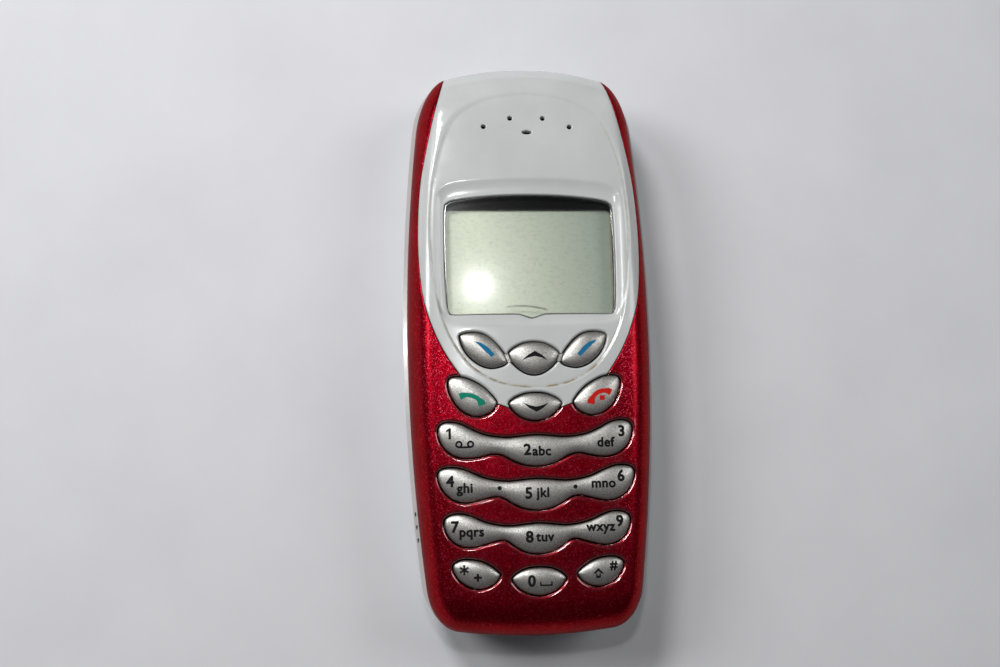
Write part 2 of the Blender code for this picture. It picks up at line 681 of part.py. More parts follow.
def display():
    """The glass cell, its light guide, and the rubber strip that joins it to the board."""
    x, (y0, y1) = DISPLAY_X - 0.3, (DISPLAY_Y[0] + 1.4, DISPLAY_Y[1] - 0.3)
    block("lcd_glass", (-x, x), (y0, y1), GLASS, "lcd_green")
    block("light_guide", (-x, x), (y0 + 2.6, y1), LIGHT_GUIDE, "clear_window")
    gap = (BOARD[1] + 0.3, GLASS[0] - 0.3)
    block("lcd_connector", (-14, 14), (y0 + 0.2, y0 + 2.2), gap, "grey_rubber")


def earpiece():
    """The earpiece speaker and the soft ring that seals it to the face plate."""
    profile = [(6.2, 0), (6.5, 0.3), (6.5, 2.2), (5.2, 2.6), (4.9, 3.0), (1.5, 3.3)]
    turned("earpiece", profile, "Z", (0, 41.8, BOARD[1] + 0.4), "steel", 20)
    ring = [circle(0, 41.8, 6.4, 20), circle(0, 41.8, 5.3, 20)]
    flat_piece("earpiece_gasket", ring, (BOARD[1] + 4.0, 18.1), "grey_rubber")


# ---------------------------------------------------------------- chassis and board
def screw_spots():
    return [(side * x, y) for x, y in SCREWS for side in (-1, 1)]


SIM_BAY = (-13.5, 13.5, -16.5, 1.5)
CONNECTOR_X, CONNECTOR_Y = 12.0, (-56.3, -50.0)


def inner_plan_outline(inset, y_low, y_high):
    """The phone's outline drawn in by inset and ended square at both ends."""
    ys = np.linspace(y_low, y_high, 12)
    right = np.stack([FRONT.reach(ys) - inset, ys], 1)
    right[0] -= (4, 0)
    right[-1] -= (4, 0)
    return np.concatenate([right, (right * (-1, 1))[::-1]])


def chassis():
    """The inner frame: a floor over the battery, a raised rim under the board, and battery rails."""
    outline = inner_plan_outline(4.0, -54.4, 51.8)
    rim = inner_plan_outline(5.3, -52.9, 50.4)
    holes = [circle(x, y, 1.15, 10) for x, y in screw_spots()]
    bosses = [circle(x, y, 2.2, 12) for x, y in screw_spots()]
    connector = box(-CONNECTOR_X - 0.4, CONNECTOR_X + 0.4, -60, CONNECTOR_Y[1] + 0.4)
    sim = box(*SIM_BAY)
    rails = [box(17.5, 18.7, -38, 10), box(-18.7, -17.5, -38, 10)]

    def keep(p):
        return inside(outline, p) & outside_all([connector, sim, *holes], p)

    def top(x, y):
        p = np.stack([x, y], 1)
        raised = ~inside(offset(rim, -0.02), p)
        for boss in bosses:
            raised |= inside(offset(boss, 0.02), p)
        return np.where(raised, BOARD[0] - 0.3, FLOOR[1])

    def foot(x, y):
        p = np.stack([x, y], 1)
        low = np.zeros(len(p), bool)
        for rail in rails:
            low |= inside(offset(rail, 0.02), p)
        return np.where(low, 4.2, FLOOR[0])

    steps = [rim, offset(rim, -0.05), *bosses, *rails, *(offset(loop, 0.05) for loop in bosses + rails)]
    shape = plan([outline, *holes, connector, sim, *steps], keep)
    return slab("chassis", shape, top, foot, "black_plastic")


def circuit_board():
    """The main board, with a clearance hole for each screw."""
    outline = inner_plan_outline(4.6, -49.4, 51.4)
    holes = [circle(x, y, 1.15, 10) for x, y in screw_spots()]
    return flat_piece("circuit_board", [outline, *holes], BOARD, "circuit_green")


def screws():
    for i, (x, y) in enumerate(screw_spots(), 1):
        profile = [(1.55, 7.05), (1.55, 7.75), (0.8, 7.8), (0.8, 13.1), (0.5, 13.4)]
        turned(f"screw_{i}", profile, "Z", (x, y, 0), "steel", 10)


def board_parts():
    """What the back of the board carries."""
    low, high = FLOOR[1] + 0.4, BOARD[0] - 0.3
    block("shield_can_radio", (-12, 12), (25, 45), (low, high), "steel")
    block("shield_can_logic", (-8, 16), (-40, -19), (low, high), "steel")
    block("sim_reader", (-12.8, 12.8), (-15.8, 0.8), (9.5, high), "black_plastic")
    block("sim_card", (-12.5, 12.5), (-15, 0), (8.45, 9.2), "pale_plastic")
    block("buzzer", (-16.3, -8.7), (-40.2, -32.6), (low, high), "black_plastic")
    turned("microphone", [(2.2, low + 0.2), (2.2, high)], "Z", (9, -46.6, 0), "steel", 12)
    block("power_switch", (-3, 3), (51.7, 52.8), (13.5, 15.0), "black_plastic")


def sim_holder():
    """The metal clip over the SIM card: a plate with two long windows."""
    loops = [box(-13.2, 13.2, -16.2, 1.2), box(-10, -2, -13, -2), box(2, 10, -13, -2)]
    return flat_piece("sim_holder", loops, (7.95, 8.2), "steel")


def battery():
    """The battery pack, and the spring contact block that it meets at its upper end."""
    body = box(-17.0, 17.0, -45.5, 14.5, 1.5)
    flat_piece("battery", [body], BATTERY, "black_plastic", (0, -15.5, BATTERY[0]))
    block("battery_connector", (-8, 8), (15.0, 18.4), (3.2, 7.7), "black_plastic")


def vibration_motor():
    """The motor, lying across the phone, and the half-round weight on its shaft."""
    centre = (0, 22.6, 5.0)
    profile = [(0.7, 2.4), (0.7, 2.9), (2.2, 3.0), (2.2, 13.0), (1.2, 13.4)]
    turned("vibration_motor", profile, "X", centre, "steel", 14)
    arc = np.linspace(-math.pi / 2, math.pi / 2, 9)
    half = [(2.5 * math.cos(a), 2.5 * math.sin(a)) for a in arc]
    points = np.array([(x, centre[1] + s, centre[2] + c) for x in (-1.6, 2.0) for s, c in half])
    n = len(half)
    sides = [(i, (i + 1) % n, (i + 1) % n + n, i + n) for i in range(n)]
    faces = [tuple(range(n))[::-1], tuple(range(n, 2 * n))] + sides
    mesh_object("vibration_weight", points, faces, "brass", centre)


def antenna():
    """The aerial: a slotted metal plate on a plastic block."""
    block("antenna_carrier", (-15.5, 15.5), (27.4, 38.6), (4.2, 7.7), "black_plastic")
    plate = box(-15, 15, 27.9, 38.1)
    slot = np.array([(-15.5, 31.4), (9, 31.4), (9, 34.6), (-15.5, 34.6)], float)
    shape = plan([plate, slot], lambda p: inside(plate, p) & ~inside(slot, p))
    return slab("antenna", shape, 3.9, 3.6, "brass")


def bottom_connector():
    """The block at the bottom end, with the round charger socket and the pin inside it."""
    x, (y0, y1) = CONNECTOR_X, CONNECTOR_Y
    body = block("bottom_connector", (-x, x), (y0, y1), (5.8, 11.0), "black_plastic")
    bore, mic_bore = [(1.8, -60), (1.8, -51)], [(0.6, -60), (0.6, -49)]
    cut(body, turned("socket_bore", bore, "Y", (0, 0, SOCKET_Z), "black_plastic", 20))
    cut(body, turned("mic_bore", mic_bore, "Y", (9, 0, SOCKET_Z), "black_plastic", 8))
    for side, name in ((-1, "l"), (1, "r")):
        slot, contact = sorted((side * 3.6, side * 6.8)), sorted((side * 4.3, side * 6.1))
        cut(body, block(f"headset_slot_{name}", slot, (-60, -52.5), (7.4, 9.6), "black_plastic"))
        block(f"headset_contact_{name}", contact, (-55.9, -52.9), (8.9, 9.25), "brass")
    pin = [(0.3, -55.9), (0.45, -55.6), (0.45, -51.4)]
    turned("charger_pin", pin, "Y", (0, 0, SOCKET_Z), "brass", 8)


def main():
    for obj in list(bpy.data.objects):
        bpy.data.objects.remove(obj)
    front_cover()
    face_plate()
    display_window()
    rear_cover()
    release_button()
    power_key()
    keys()
    keypad_web()
    dome_sheet()
    display_frame()
    display()
    earpiece()
    chassis()
    circuit_board()
    screws()
    board_parts()
    sim_holder()
    battery()
    vibration_motor()
    antenna()
    bottom_connector()


main()
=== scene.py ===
"""Looks for the early mobile phone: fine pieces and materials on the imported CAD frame.

Outlines and heights are in millimetres in the phone's frame (+Y to the earpiece, +Z out of the
front) and MM turns them to metres when a mesh is made.
"""
import math

import bpy
import numpy as np
from mathutils import Matrix, Vector
from mathutils.bvhtree import BVHTree
from mathutils.geometry import delaunay_2d_cdt


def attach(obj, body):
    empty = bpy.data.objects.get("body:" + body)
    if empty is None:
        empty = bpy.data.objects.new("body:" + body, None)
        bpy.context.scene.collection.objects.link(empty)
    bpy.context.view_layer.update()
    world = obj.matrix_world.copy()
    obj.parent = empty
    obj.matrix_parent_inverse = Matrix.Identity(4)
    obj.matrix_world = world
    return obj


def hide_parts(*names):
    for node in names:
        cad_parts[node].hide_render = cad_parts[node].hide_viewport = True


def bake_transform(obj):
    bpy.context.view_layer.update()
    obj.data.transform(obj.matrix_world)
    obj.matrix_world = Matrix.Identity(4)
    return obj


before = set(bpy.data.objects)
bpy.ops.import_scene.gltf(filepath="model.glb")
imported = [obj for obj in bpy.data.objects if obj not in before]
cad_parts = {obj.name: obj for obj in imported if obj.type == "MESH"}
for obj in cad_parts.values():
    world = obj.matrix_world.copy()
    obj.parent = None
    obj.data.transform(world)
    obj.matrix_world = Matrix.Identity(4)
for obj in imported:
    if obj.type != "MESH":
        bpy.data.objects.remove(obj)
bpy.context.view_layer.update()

MM = 0.001

# ---------------------------------------------------------------- sizes shared with the CAD
LENGTH = 115.0
WIDTH = 50.0
PARTING = 11.5          # height of the plane between the front and rear covers
CROWN = 22.3            # highest point of the front skin
WALL = 1.6              # thickness of the front cover and the face plate
REAR_WALL = 1.4
REAR_STEP = 0.8         # how far the rear cover stands out past the front cover at the sides
SIDE_BOW = 0.00127      # how the sides bow: half-width lost per square millimetre of length
WIDEST_Y = 2.0
TOP_REACH = 57.1        # the front cover's top end
KEY_FOOT = 16.2         # underside of the key caps
POWER_Z = 14.0          # middle of the power key in the top end
POWER_HALF = (5.0, 1.4)
SOCKET_Z = 8.5          # middle of the charger socket in the bottom end
SOCKET_R = 1.9
BUTTON = (0.0, -48.6, 4.6, 1.8)         # release button: middle, then half-length and half-height
SOUND_HOLES = (-34.0, -36.5, -39.0)     # along the rear cover's left side

# ---------------------------------------------------------------- sizes of the fine detail
KEY_GAP = 0.3           # between a key and the edge of its hole
KEY_PROUD = 0.5         # how far a key's middle stands out of the front skin
KEY_SUNK = 0.38         # how far its edge lies under the skin
RIM_DROP = 0.28         # step from the plate's rim down to its inner field
POCKET_DROP = 0.75      # how far the field slopes down to the window's edge
POCKET_ROUND = 0.3      # rounding where that slope starts
BRIDGE_SUNK = 0.75      # how far the keypad sheet's webs lie under the skin
HOLE_ROUND = 0.42       # rounding of the edges around the keys
SEAM = 0.09             # gap between the plate and the coloured cover
SEAM_ROUND = 0.16
EAR_ROUND = 0.18
LEAST_WALL = 0.5        # thickness that the front keeps where its outer skin dips
PANE_TOP = 21.3         # the display window's highest point, over PANE_MIDDLE on the centre line
PANE_MIDDLE = 15.0
PANE_RADIUS = 140.0
PANE_THICK = 1.0
PANE_GAP = 0.12
POWER_SUNK = 0.05       # how far the power key's face lies under the skin
POWER_FOOT = 53.4       # its inner end
RIDGE = (0.13, 0.9)     # depth and spacing of the release button's grip ridges
DISH = (0.35, 2.2)      # depth and width of the dish around the release button
FLAKE = 0.13            # size of the flakes in the red lacquer
INK_THICK = 0.02
INK_DEEP = 0.03         # how far ink reaches under the surface that it is printed on
DIGIT_SIZE = 2.9
LETTER_SIZE = 2.5
BOLDER = 0.04           # how much an outline grows outwards, for each millimetre of size


# ---------------------------------------------------------------- plan outlines
def spline(points, steps):
    """A closed Catmull-Rom curve through the points, with steps samples between two of them."""
    p = np.array(points, float)
    before, after, beyond = np.roll(p, 1, 0), np.roll(p, -1, 0), np.roll(p, -2, 0)
    rows = []
    for t in np.arange(steps) / steps:
        rows.append(
            0.5 * (2 * p + (after - before) * t
                   + (2 * before - 5 * p + 4 * after - beyond) * t ** 2
                   + (3 * p - before - 3 * after + beyond) * t ** 3))
    return np.stack(rows, 1).reshape(-1, 2)


def even(loop, spacing):
    """The same closed loop with its points a constant distance apart."""
    closed = np.vstack([loop, loop[:1]])
    run = np.concatenate([[0], np.cumsum(np.linalg.norm(np.diff(closed, axis=0), axis=1))])
    count = max(8, round(run[-1] / spacing))
    at = np.arange(count) * run[-1] / count
    return np.stack([np.interp(at, run, closed[:, 0]), np.interp(at, run, closed[:, 1])], 1)


def fine(loop, longest=0.3):
    """The same loop, corners kept, with its long edges cut into short ones."""
    rows = []
    for a, b in zip(loop, np.roll(loop, -1, 0)):
        cuts = max(1, math.ceil(np.linalg.norm(b - a) / longest))
        rows.append(a + (b - a) * np.arange(cuts)[:, None] / cuts)
    return np.concatenate(rows)


def smooth_loop(points, spacing=0.4):
    return even(spline(points, 12), spacing)


def mirrored(half):
    """A closed outline from its -X half, given from the top centre round to the bottom centre."""
    return half + [(-x, y) for x, y in reversed(half) if x != 0]


def flipped(points):
    """The same outline on the other side of the phone."""
    return [(-x, y) for x, y in reversed(points)]


def circle(x, y, r, steps=24):
    a = np.arange(steps) * 2 * math.pi / steps
    return np.stack([x + r * np.cos(a), y + r * np.sin(a)], 1)


def oval(x, y, a, b, steps=24):
    return circle(0, 0, 1, steps) * (a, b) + (x, y)


def box(x0, x1, y0, y1, r=0.0, steps=6):
    """A rectangle, with corners of radius r."""
    if r == 0:
        return np.array([(x0, y0), (x1, y0), (x1, y1), (x0, y1)], float)
    a = np.linspace(0, math.pi / 2, steps + 1)
    corners = ((x1 - r, y1 - r, 0), (x0 + r, y1 - r, 1), (x0 + r, y0 + r, 2), (x1 - r, y0 + r, 3))
    return np.concatenate([
        np.stack([x + r * np.cos(a + k * math.pi / 2), y + r * np.sin(a + k * math.pi / 2)], 1)
        for x, y, k in corners])


def offset(loop, d):
    """The loop moved outwards by d."""
    along = np.roll(loop, -1, 0) - np.roll(loop, 1, 0)
    along /= np.linalg.norm(along, axis=1)[:, None] + 1e-12
    return loop + np.sign(area(loop)) * d * np.stack([along[:, 1], -along[:, 0]], 1)


def ladder(loop, distances):
    """Copies of a loop offset by each distance, to carry a rounded edge."""
    return [offset(loop, d) for d in distances]


def turns(loop, points):
    """How often the loop runs round each point, counted positive anticlockwise."""
    count = np.zeros(len(points), int)
    for a, b in zip(loop, np.roll(loop, -1, 0)):
        low, high = min(a[1], b[1]), max(a[1], b[1])
        level = np.flatnonzero((points[:, 1] > low) & (points[:, 1] <= high))
        crossing = a[0] + (points[level, 1] - a[1]) * (b[0] - a[0]) / (b[1] - a[1] + 1e-15)
        count[level[points[level, 0] < crossing]] += 1 if b[1] > a[1] else -1
    return count


def inside(loop, points):
    """Whether each point lies inside the loop."""
    return turns(loop, points) != 0


def area(loop):
    """The area inside the loop, positive if it runs anticlockwise."""
    x, y = loop.T
    return np.sum(x * np.roll(y, -1) - np.roll(x, -1) * y) / 2


def distance(loop, points, reach):
    """Distance from each point to the loop, and reach for points that are further off."""
    found = np.full(len(points), reach)
    ends = np.roll(loop, -1, 0)
    for part in np.array_split(np.arange(len(loop)), len(loop) // 12 + 1):
        a, ab = loop[part], (ends - loop)[part]
        corners = np.concatenate([a, ends[part]])
        low, high = corners.min(0) - reach, corners.max(0) + reach
        near = np.flatnonzero(((points > low) & (points < high)).all(1))
        p = points[near][:, None]
        t = np.sum((p - a) * ab, 2) / (np.sum(ab ** 2, 1) + 1e-12)
        away = p - a - np.clip(t, 0, 1)[..., None] * ab
        found[near] = np.minimum(found[near], np.sqrt(np.sum(away ** 2, 2)).min(1))
    return found


def signed(loop, points, reach):
    """Distance to the loop, positive inside it."""
    return np.where(inside(loop, points), 1, -1) * distance(loop, points, reach)


# Outlines of the keys, as points on the left half or on the left key
SOFT_KEY = [
    (-13.9, -0.35), (-12.0, 0.0), (-10.0, -0.25), (-8.4, -1.15), (-7.0, -2.55), (-6.0, -3.85),
    (-5.75, -4.3), (-5.3, -5.5), (-5.4, -5.95), (-6.4, -6.5), (-8.2, -6.8), (-10.0, -6.35),
    (-11.6, -5.3), (-12.9, -3.9), (-13.7, -2.4), (-14.1, -1.0)]
CALL_KEY = [
    (-16.3, -8.95), (-15.2, -8.6), (-13.5, -8.75), (-11.8, -9.45), (-10.0, -10.55), (-8.5, -12.0),
    (-7.5, -13.35), (-7.5, -13.9), (-8.2, -14.95), (-9.4, -15.7), (-11.0, -16.05), (-12.9, -15.6),
    (-14.7, -14.2), (-15.9, -12.3), (-16.5, -10.3)]
STAR_KEY = [
    (-15.9, -43.7), (-14.6, -43.05), (-13.0, -43.0), (-11.0, -43.35), (-9.2, -44.2), (-7.7, -45.4),
    (-7.4, -46.0), (-8.3, -47.2), (-9.8, -48.0), (-11.5, -48.25), (-13.4, -47.7), (-15.0, -46.5),
    (-16.0, -44.8)]
UP_KEY = mirrored([
    (0, -2.0), (-2.0, -2.25), (-3.7, -3.05), (-4.7, -3.9), (-4.8, -4.35), (-4.35, -5.55),
    (-4.0, -6.0), (-2.9, -7.05), (-1.5, -7.9), (0, -8.2)])
DOWN_KEY = mirrored([
    (0, -11.85), (-2.0, -12.05), (-3.8, -12.75), (-4.8, -13.5), (-4.95, -13.95), (-4.1, -15.2),
    (-2.3, -16.5), (0, -17.0)])
ZERO_KEY = mirrored([
    (0, -44.65), (-2.2, -44.85), (-4.0, -45.6), (-4.95, -46.45), (-4.95, -46.9), (-3.9, -48.2),
    (-2.1, -49.3), (0, -49.7)])
BARS = (
    mirrored([
        (0, -19.95), (-2.5, -20.1), (-5.2, -20.35), (-7.6, -20.2), (-10.0, -19.7), (-12.3, -18.7),
        (-14.5, -17.6), (-16.5, -17.25), (-18.0, -17.6), (-18.55, -18.7), (-18.2, -20.6),
        (-17.2, -22.2), (-15.6, -23.4), (-13.5, -23.95), (-11.0, -23.75), (-8.4, -23.2),
        (-6.3, -23.55), (-4.3, -24.6), (-2.2, -25.4), (0, -25.65)]),
    mirrored([
        (0, -28.2), (-2.5, -28.35), (-5.4, -28.6), (-8.0, -28.35), (-10.4, -27.75), (-12.8, -26.7),
        (-14.8, -26.0), (-16.7, -25.85), (-18.2, -26.2), (-18.7, -27.2), (-18.3, -28.9),
        (-17.2, -30.6), (-15.6, -31.8), (-13.4, -32.25), (-10.8, -31.8), (-8.2, -31.2),
        (-6.3, -31.55), (-4.4, -32.7), (-2.2, -33.6), (0, -33.85)]),
    mirrored([
        (0, -36.5), (-2.5, -36.7), (-5.2, -36.95), (-7.8, -36.7), (-10.2, -36.05), (-12.4, -35.1),
        (-14.3, -34.55), (-16.0, -34.6), (-17.3, -35.2), (-17.6, -36.4), (-17.0, -38.2),
        (-15.8, -39.6), (-14.2, -40.35), (-12.2, -40.5), (-9.6, -39.9), (-7.2, -39.3),
        (-5.7, -39.6), (-4.0, -40.8), (-2.0, -41.75), (0, -42.0)]),
)
BRIDGE = [(-6.3, -4.05), (-4.6, -4.05), (-3.9, -5.8), (-5.7, -5.8)]

# Where the pale face plate meets the coloured front cover
FACE_EDGE = mirrored([
    (0, 62.0), (-14.6, 60.0), (-15.5, 57.0), (-16.3, 53.6), (-17.5, 48.6), (-18.7, 43.9),
    (-19.8, 39.0), (-20.6, 35.0), (-21.3, 31.0), (-21.75, 26.0), (-21.95, 21.0), (-21.9, 16.0),
    (-21.65, 12.0), (-21.2, 8.0), (-20.4, 4.3), (-19.0, 0.3), (-17.9, -2.2), (-16.6, -4.6),
    (-15.2, -6.8), (-13.6, -9.0), (-11.5, -11.3), (-9.3, -12.9), (-7.2, -13.8), (-5.0, -14.6),
    (-2.5, -15.1), (0, -15.3)])
# The plate's inner field, a little lower than the rim around it
FIELD = mirrored([
    (0, 49.4), (-4.0, 49.1), (-8.0, 48.2), (-12.0, 46.3), (-14.6, 44.1), (-16.3, 41.0),
    (-17.6, 37.4), (-18.7, 33.0), (-19.4, 28.0), (-19.75, 22.0), (-19.6, 16.0), (-19.1, 10.5),
    (-18.2, 5.5), (-16.9, 1.0), (-14.9, -3.0), (-12.4, -6.3), (-9.4, -8.6), (-6.2, -10.0),
    (-3.2, -10.6), (0, -10.8)])
WINDOW = mirrored([
    (0, 28.0), (-6.0, 27.85), (-11.0, 27.45), (-14.8, 26.95), (-16.2, 26.4), (-16.8, 25.2),
    (-16.95, 20.0), (-16.9, 12.0), (-16.65, 6.0), (-16.3, 4.4), (-15.4, 3.7), (-10.0, 3.65),
    (-3.4, 3.6), (-2.2, 3.45), (-1.0, 3.05), (0, 2.8)])
POCKET = mirrored([
    (0, 31.2), (-6.0, 31.1), (-11.5, 30.7), (-15.4, 30.2), (-17.6, 28.9), (-18.35, 26.6),
    (-18.5, 20.0), (-18.4, 12.0), (-18.1, 5.8), (-17.2, 3.2), (-15.0, 2.1), (-10.0, 1.75),
    (-5.0, 1.6), (0, 1.5)])
EAR_HOLES = ((-8.65, 42.1), (-3.3, 43.9), (3.3, 43.9), (8.65, 42.1))
EAR_SLOT = (0.0, 40.9, 1.0, 0.45)


# ---------------------------------------------------------------- the two covers' outer skins
class Skin:
    """A rounded cover: its plan outline, and how its skin rolls over at the edges.

    At a point, u and v say how far it has come into the roll at the nearer side and end, from 0
    to 1, and the outline is where u and v, each to the power BEND, add up to 1.
    """

    BEND = 2.2

    def __init__(self, half_width, top, bottom, side_roll, top_roll, bottom_roll):
        self.half_width, self.top, self.bottom = half_width, top, bottom
        self.side_roll, self.top_roll, self.bottom_roll = side_roll, top_roll, bottom_roll

    def reach(self, y):
        return self.half_width - SIDE_BOW * (y - WIDEST_Y) ** 2

    def end(self, x, upper):
        """How far the top or bottom end reaches at x: each is an arc."""
        return np.where(upper, self.top - x ** 2 / 114, self.bottom - x ** 2 / 220)

    def edge(self, x, y):
        """0 on the middle of the skin, 1 on its outline, more outside."""
        upper = y > 0
        roll = np.where(upper, self.top_roll, self.bottom_roll)
        u = np.maximum(0, 1 - (self.reach(y) - np.abs(x)) / self.side_roll)
        v = np.maximum(0, 1 - (self.end(x, upper) - np.abs(y)) / roll)
        return u ** self.BEND + v ** self.BEND

    def rise(self, x, y):
        """The share of its full height that the skin has at a point."""
        return np.maximum(0, 1 - self.edge(x, y)) ** (1 / self.BEND)

    def ring(self, share, side=46, corner=26, end=44):
        """The closed curve on which u and v are this share of what they are on the outline."""
        def quarter(upper):
            roll = self.top_roll if upper else self.bottom_roll
            turn = np.linspace(0, math.pi / 2, corner + 1)
            u = np.cos(turn).clip(0) ** (2 / self.BEND) * share
            v = np.sin(turn).clip(0) ** (2 / self.BEND) * share
            x, y = np.full(corner + 1, self.half_width - self.side_roll), np.full(corner + 1, 40.0)
            for _ in range(30):
                y = self.end(x, upper) - roll * (1 - v)
                x = self.reach(y if upper else -y) - self.side_roll * (1 - u)
            straight_y = np.linspace(0, y[0], side + 1)[:-1]
            straight_x = self.reach(straight_y if upper else -straight_y)
            straight_x = straight_x - self.side_roll * (1 - share)
            across = np.linspace(x[-1], 0, end + 1)[1:]
            over = self.end(across, upper) - roll * (1 - share)
            xs = np.concatenate([straight_x, x, across])
            ys = np.concatenate([straight_y, y, over])
            return np.stack([xs, ys if upper else -ys], 1)

        top, bottom = quarter(True), quarter(False)
        flip = np.array([-1, 1])
        return np.concatenate([top, (top * flip)[-2::-1], (bottom * flip)[1:], bottom[-2:0:-1]])


FRONT = Skin(WIDTH / 2 - REAR_STEP, TOP_REACH, LENGTH / 2, 5.0, 10.0, 7.0)
FRONT_INNER = Skin(WIDTH / 2 - REAR_STEP - WALL, TOP_REACH - WALL, LENGTH / 2 - WALL, 4.2, 9.0, 6.0)
REAR = Skin(WIDTH / 2, LENGTH / 2, LENGTH / 2, 7.0, 9.0, 8.0)
REAR_INNER = Skin(WIDTH / 2 - REAR_WALL, LENGTH / 2 - REAR_WALL, LENGTH / 2 - REAR_WALL, 6.2, 8.0, 7.0)
# Shares of the roll at which a skin gets a ring of points, close together near the outline
ROLL_SHARES = (0.9985, 0.992, 0.98, 0.96, 0.93, 0.89, 0.84, 0.78, 0.71, 0.63, 0.54, 0.44, 0.33, 0.2)


def crown(x, y):
    """The front's gently arched face, before its edges roll over."""
    return CROWN - 3.0 * np.abs(2 * y / LENGTH) ** 2.2 - 2.0 * np.abs(2 * x / WIDTH) ** 3


def front_skin(x, y):
    return PARTING + (crown(x, y) - PARTING) * FRONT.rise(x, y)


def front_inner(x, y):
    return PARTING + (crown(x, y) - WALL - PARTING) * FRONT_INNER.rise(x, y)


def rear_skin(x, y):
    return PARTING * (1 - REAR.rise(x, y))


def rear_inner(x, y):
    return PARTING - (PARTING - REAR_WALL) * REAR_INNER.rise(x, y)


def ease(t):
    """0 below 0, 1 above 1 and a smooth S between."""
    t = np.clip(t, 0, 1)
    return t * t * (3 - 2 * t)


def round_over(d, r):
    """How far a surface falls at distance d from an edge that is rounded to radius r."""
    return r - np.sqrt(r ** 2 - (r - np.clip(d, 0, r)) ** 2)


# ---------------------------------------------------------------- meshes
def plan(loops, keep, fill=(), clear=0.12):
    """Triangles over the part of the plane that keep() is true for, with the loops as edges.

    The fill points are used as well, apart from those nearer to a loop than clear.
    """
    rows, edges = [], []
    for loop in loops:
        start = sum(len(r) for r in rows)
        rows.append(loop)
        edges += [(start + i, start + (i + 1) % len(loop)) for i in range(len(loop))]
    if len(fill):
        apart = np.ones(len(fill), bool)
        for loop in loops:
            apart &= distance(loop, fill, 2 * clear) > clear
        rows.append(fill[apart])
    points = np.concatenate(rows)
    verts, _, faces, *_ = delaunay_2d_cdt([tuple(p) for p in points], edges, [], 0, 1e-5)
    verts = np.array([tuple(v) for v in verts])
    faces = np.array([tuple(f) for f in faces])
    faces = faces[keep(verts[faces].mean(1))]
    used, index = np.unique(faces, return_inverse=True)
    return verts[used], index.reshape(faces.shape)


def boundary(faces):
    """The directed edges that only one triangle has."""
    ends = np.concatenate([faces[:, [0, 1]], faces[:, [1, 2]], faces[:, [2, 0]]])
    seen = {tuple(e) for e in ends}
    return [e for e in seen if (e[1], e[0]) not in seen]


def border_loops(points, faces):
    """The closed loops around the triangles' outside and holes."""
    follow = dict(boundary(faces))
    loops = []
    while follow:
        loop = [next(iter(follow))]
        while loop[-1] in follow:
            loop.append(follow.pop(loop[-1]))
        loops.append(points[loop[:-1]])
    return loops


def slope_normals(height, x, y, step=0.012):
    """Upward unit normals of the surface z = height(x, y)."""
    dx = (height(x + step, y) - height(x - step, y)) / (2 * step)
    dy = (height(x, y + step) - height(x, y - step)) / (2 * step)
    n = np.stack([-dx, -dy, np.ones(len(x))], 1)
    return n / np.linalg.norm(n, axis=1)[:, None]


def new_object(name, data):
    """An object for this data, linked into the scene."""
    made = bpy.data.objects.new(name, data)
    bpy.context.scene.collection.objects.link(made)
    return made


def mesh_piece(name, points, faces, finish, body, normals=None):
    """A piece from millimetre points, riding on a CAD body."""
    mesh = bpy.data.meshes.new(name)
    mesh.from_pydata([tuple(p) for p in np.array(points) * MM], [], [tuple(f) for f in faces])
    mesh.shade_smooth()
    if normals is not None:
        mesh.normals_split_custom_set([tuple(n) for n in normals])
    else:
        mesh.set_sharp_from_angle(angle=math.radians(40))
    mesh.materials.append(finish)
    piece = new_object(name, mesh)
    if body:
        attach(piece, body)
    return piece


def outward(points, rim):
    """Level unit normals at a plan's border points, facing out of it."""
    out = np.zeros((len(points), 3))
    for a, b in rim:
        run = points[b] - points[a]
        side = np.array([run[1], -run[0], 0]) / (np.linalg.norm(run) + 1e-12)
        out[a] += side
        out[b] += side
    return out / (np.linalg.norm(out, axis=1)[:, None] + 1e-12)


def stacked(name, plan_shape, z_top, z_bottom, finish, body, normals=None):
    """A closed piece: a plan's triangles at two heights, with walls between.

    normals, if given, are those of the upper and of the lower points.
    """
    points, tris = plan_shape
    n, rim = len(points), boundary(tris)
    faces = [tuple(f) for f in tris] + [tuple(f[::-1] + n) for f in tris]
    faces += [(b, a, a + n, b + n) for a, b in rim]
    if normals:
        up, down = normals
        out = outward(points, rim)
        normals = np.concatenate([up[tris].reshape(-1, 3), down[tris[:, ::-1]].reshape(-1, 3)]
                                 + [out[[b, a, a, b]] for a, b in rim])
    both = np.concatenate([np.column_stack([points, z_top]), np.column_stack([points, z_bottom])])
    return mesh_piece(name, both, faces, finish, body, normals)


def keep_mark(piece, key, values):
    """Keeps a value for each point of the plan on the piece's upper and lower points."""
    layer = piece.data.attributes.new(key, "FLOAT", "POINT")
    layer.data.foreach_set("value", np.tile(values, 2).astype(np.float32))


def slab(name, shape, top, bottom, finish, body, marks=None, own_normals=True):
    """A closed piece between two heights over a plan. marks names extra values kept on its points."""
    x, y = shape[0].T
    normals = (slope_normals(top, x, y), -slope_normals(bottom, x, y)) if own_normals else None
    piece = stacked(name, shape, top(x, y), bottom(x, y), finish, body, normals)
    for key, value in (marks or {}).items():
        keep_mark(piece, key, value(x, y))
    return piece


def grid(spacing):
    """Points over the whole phone, in staggered rows."""
    x, y = np.meshgrid(np.arange(-26, 26.01, spacing), np.arange(-58, 58.01, spacing))
    shift = (np.round(y.ravel() / spacing) % 2) * spacing / 2
    return np.stack([x.ravel() + shift, y.ravel()], 1)


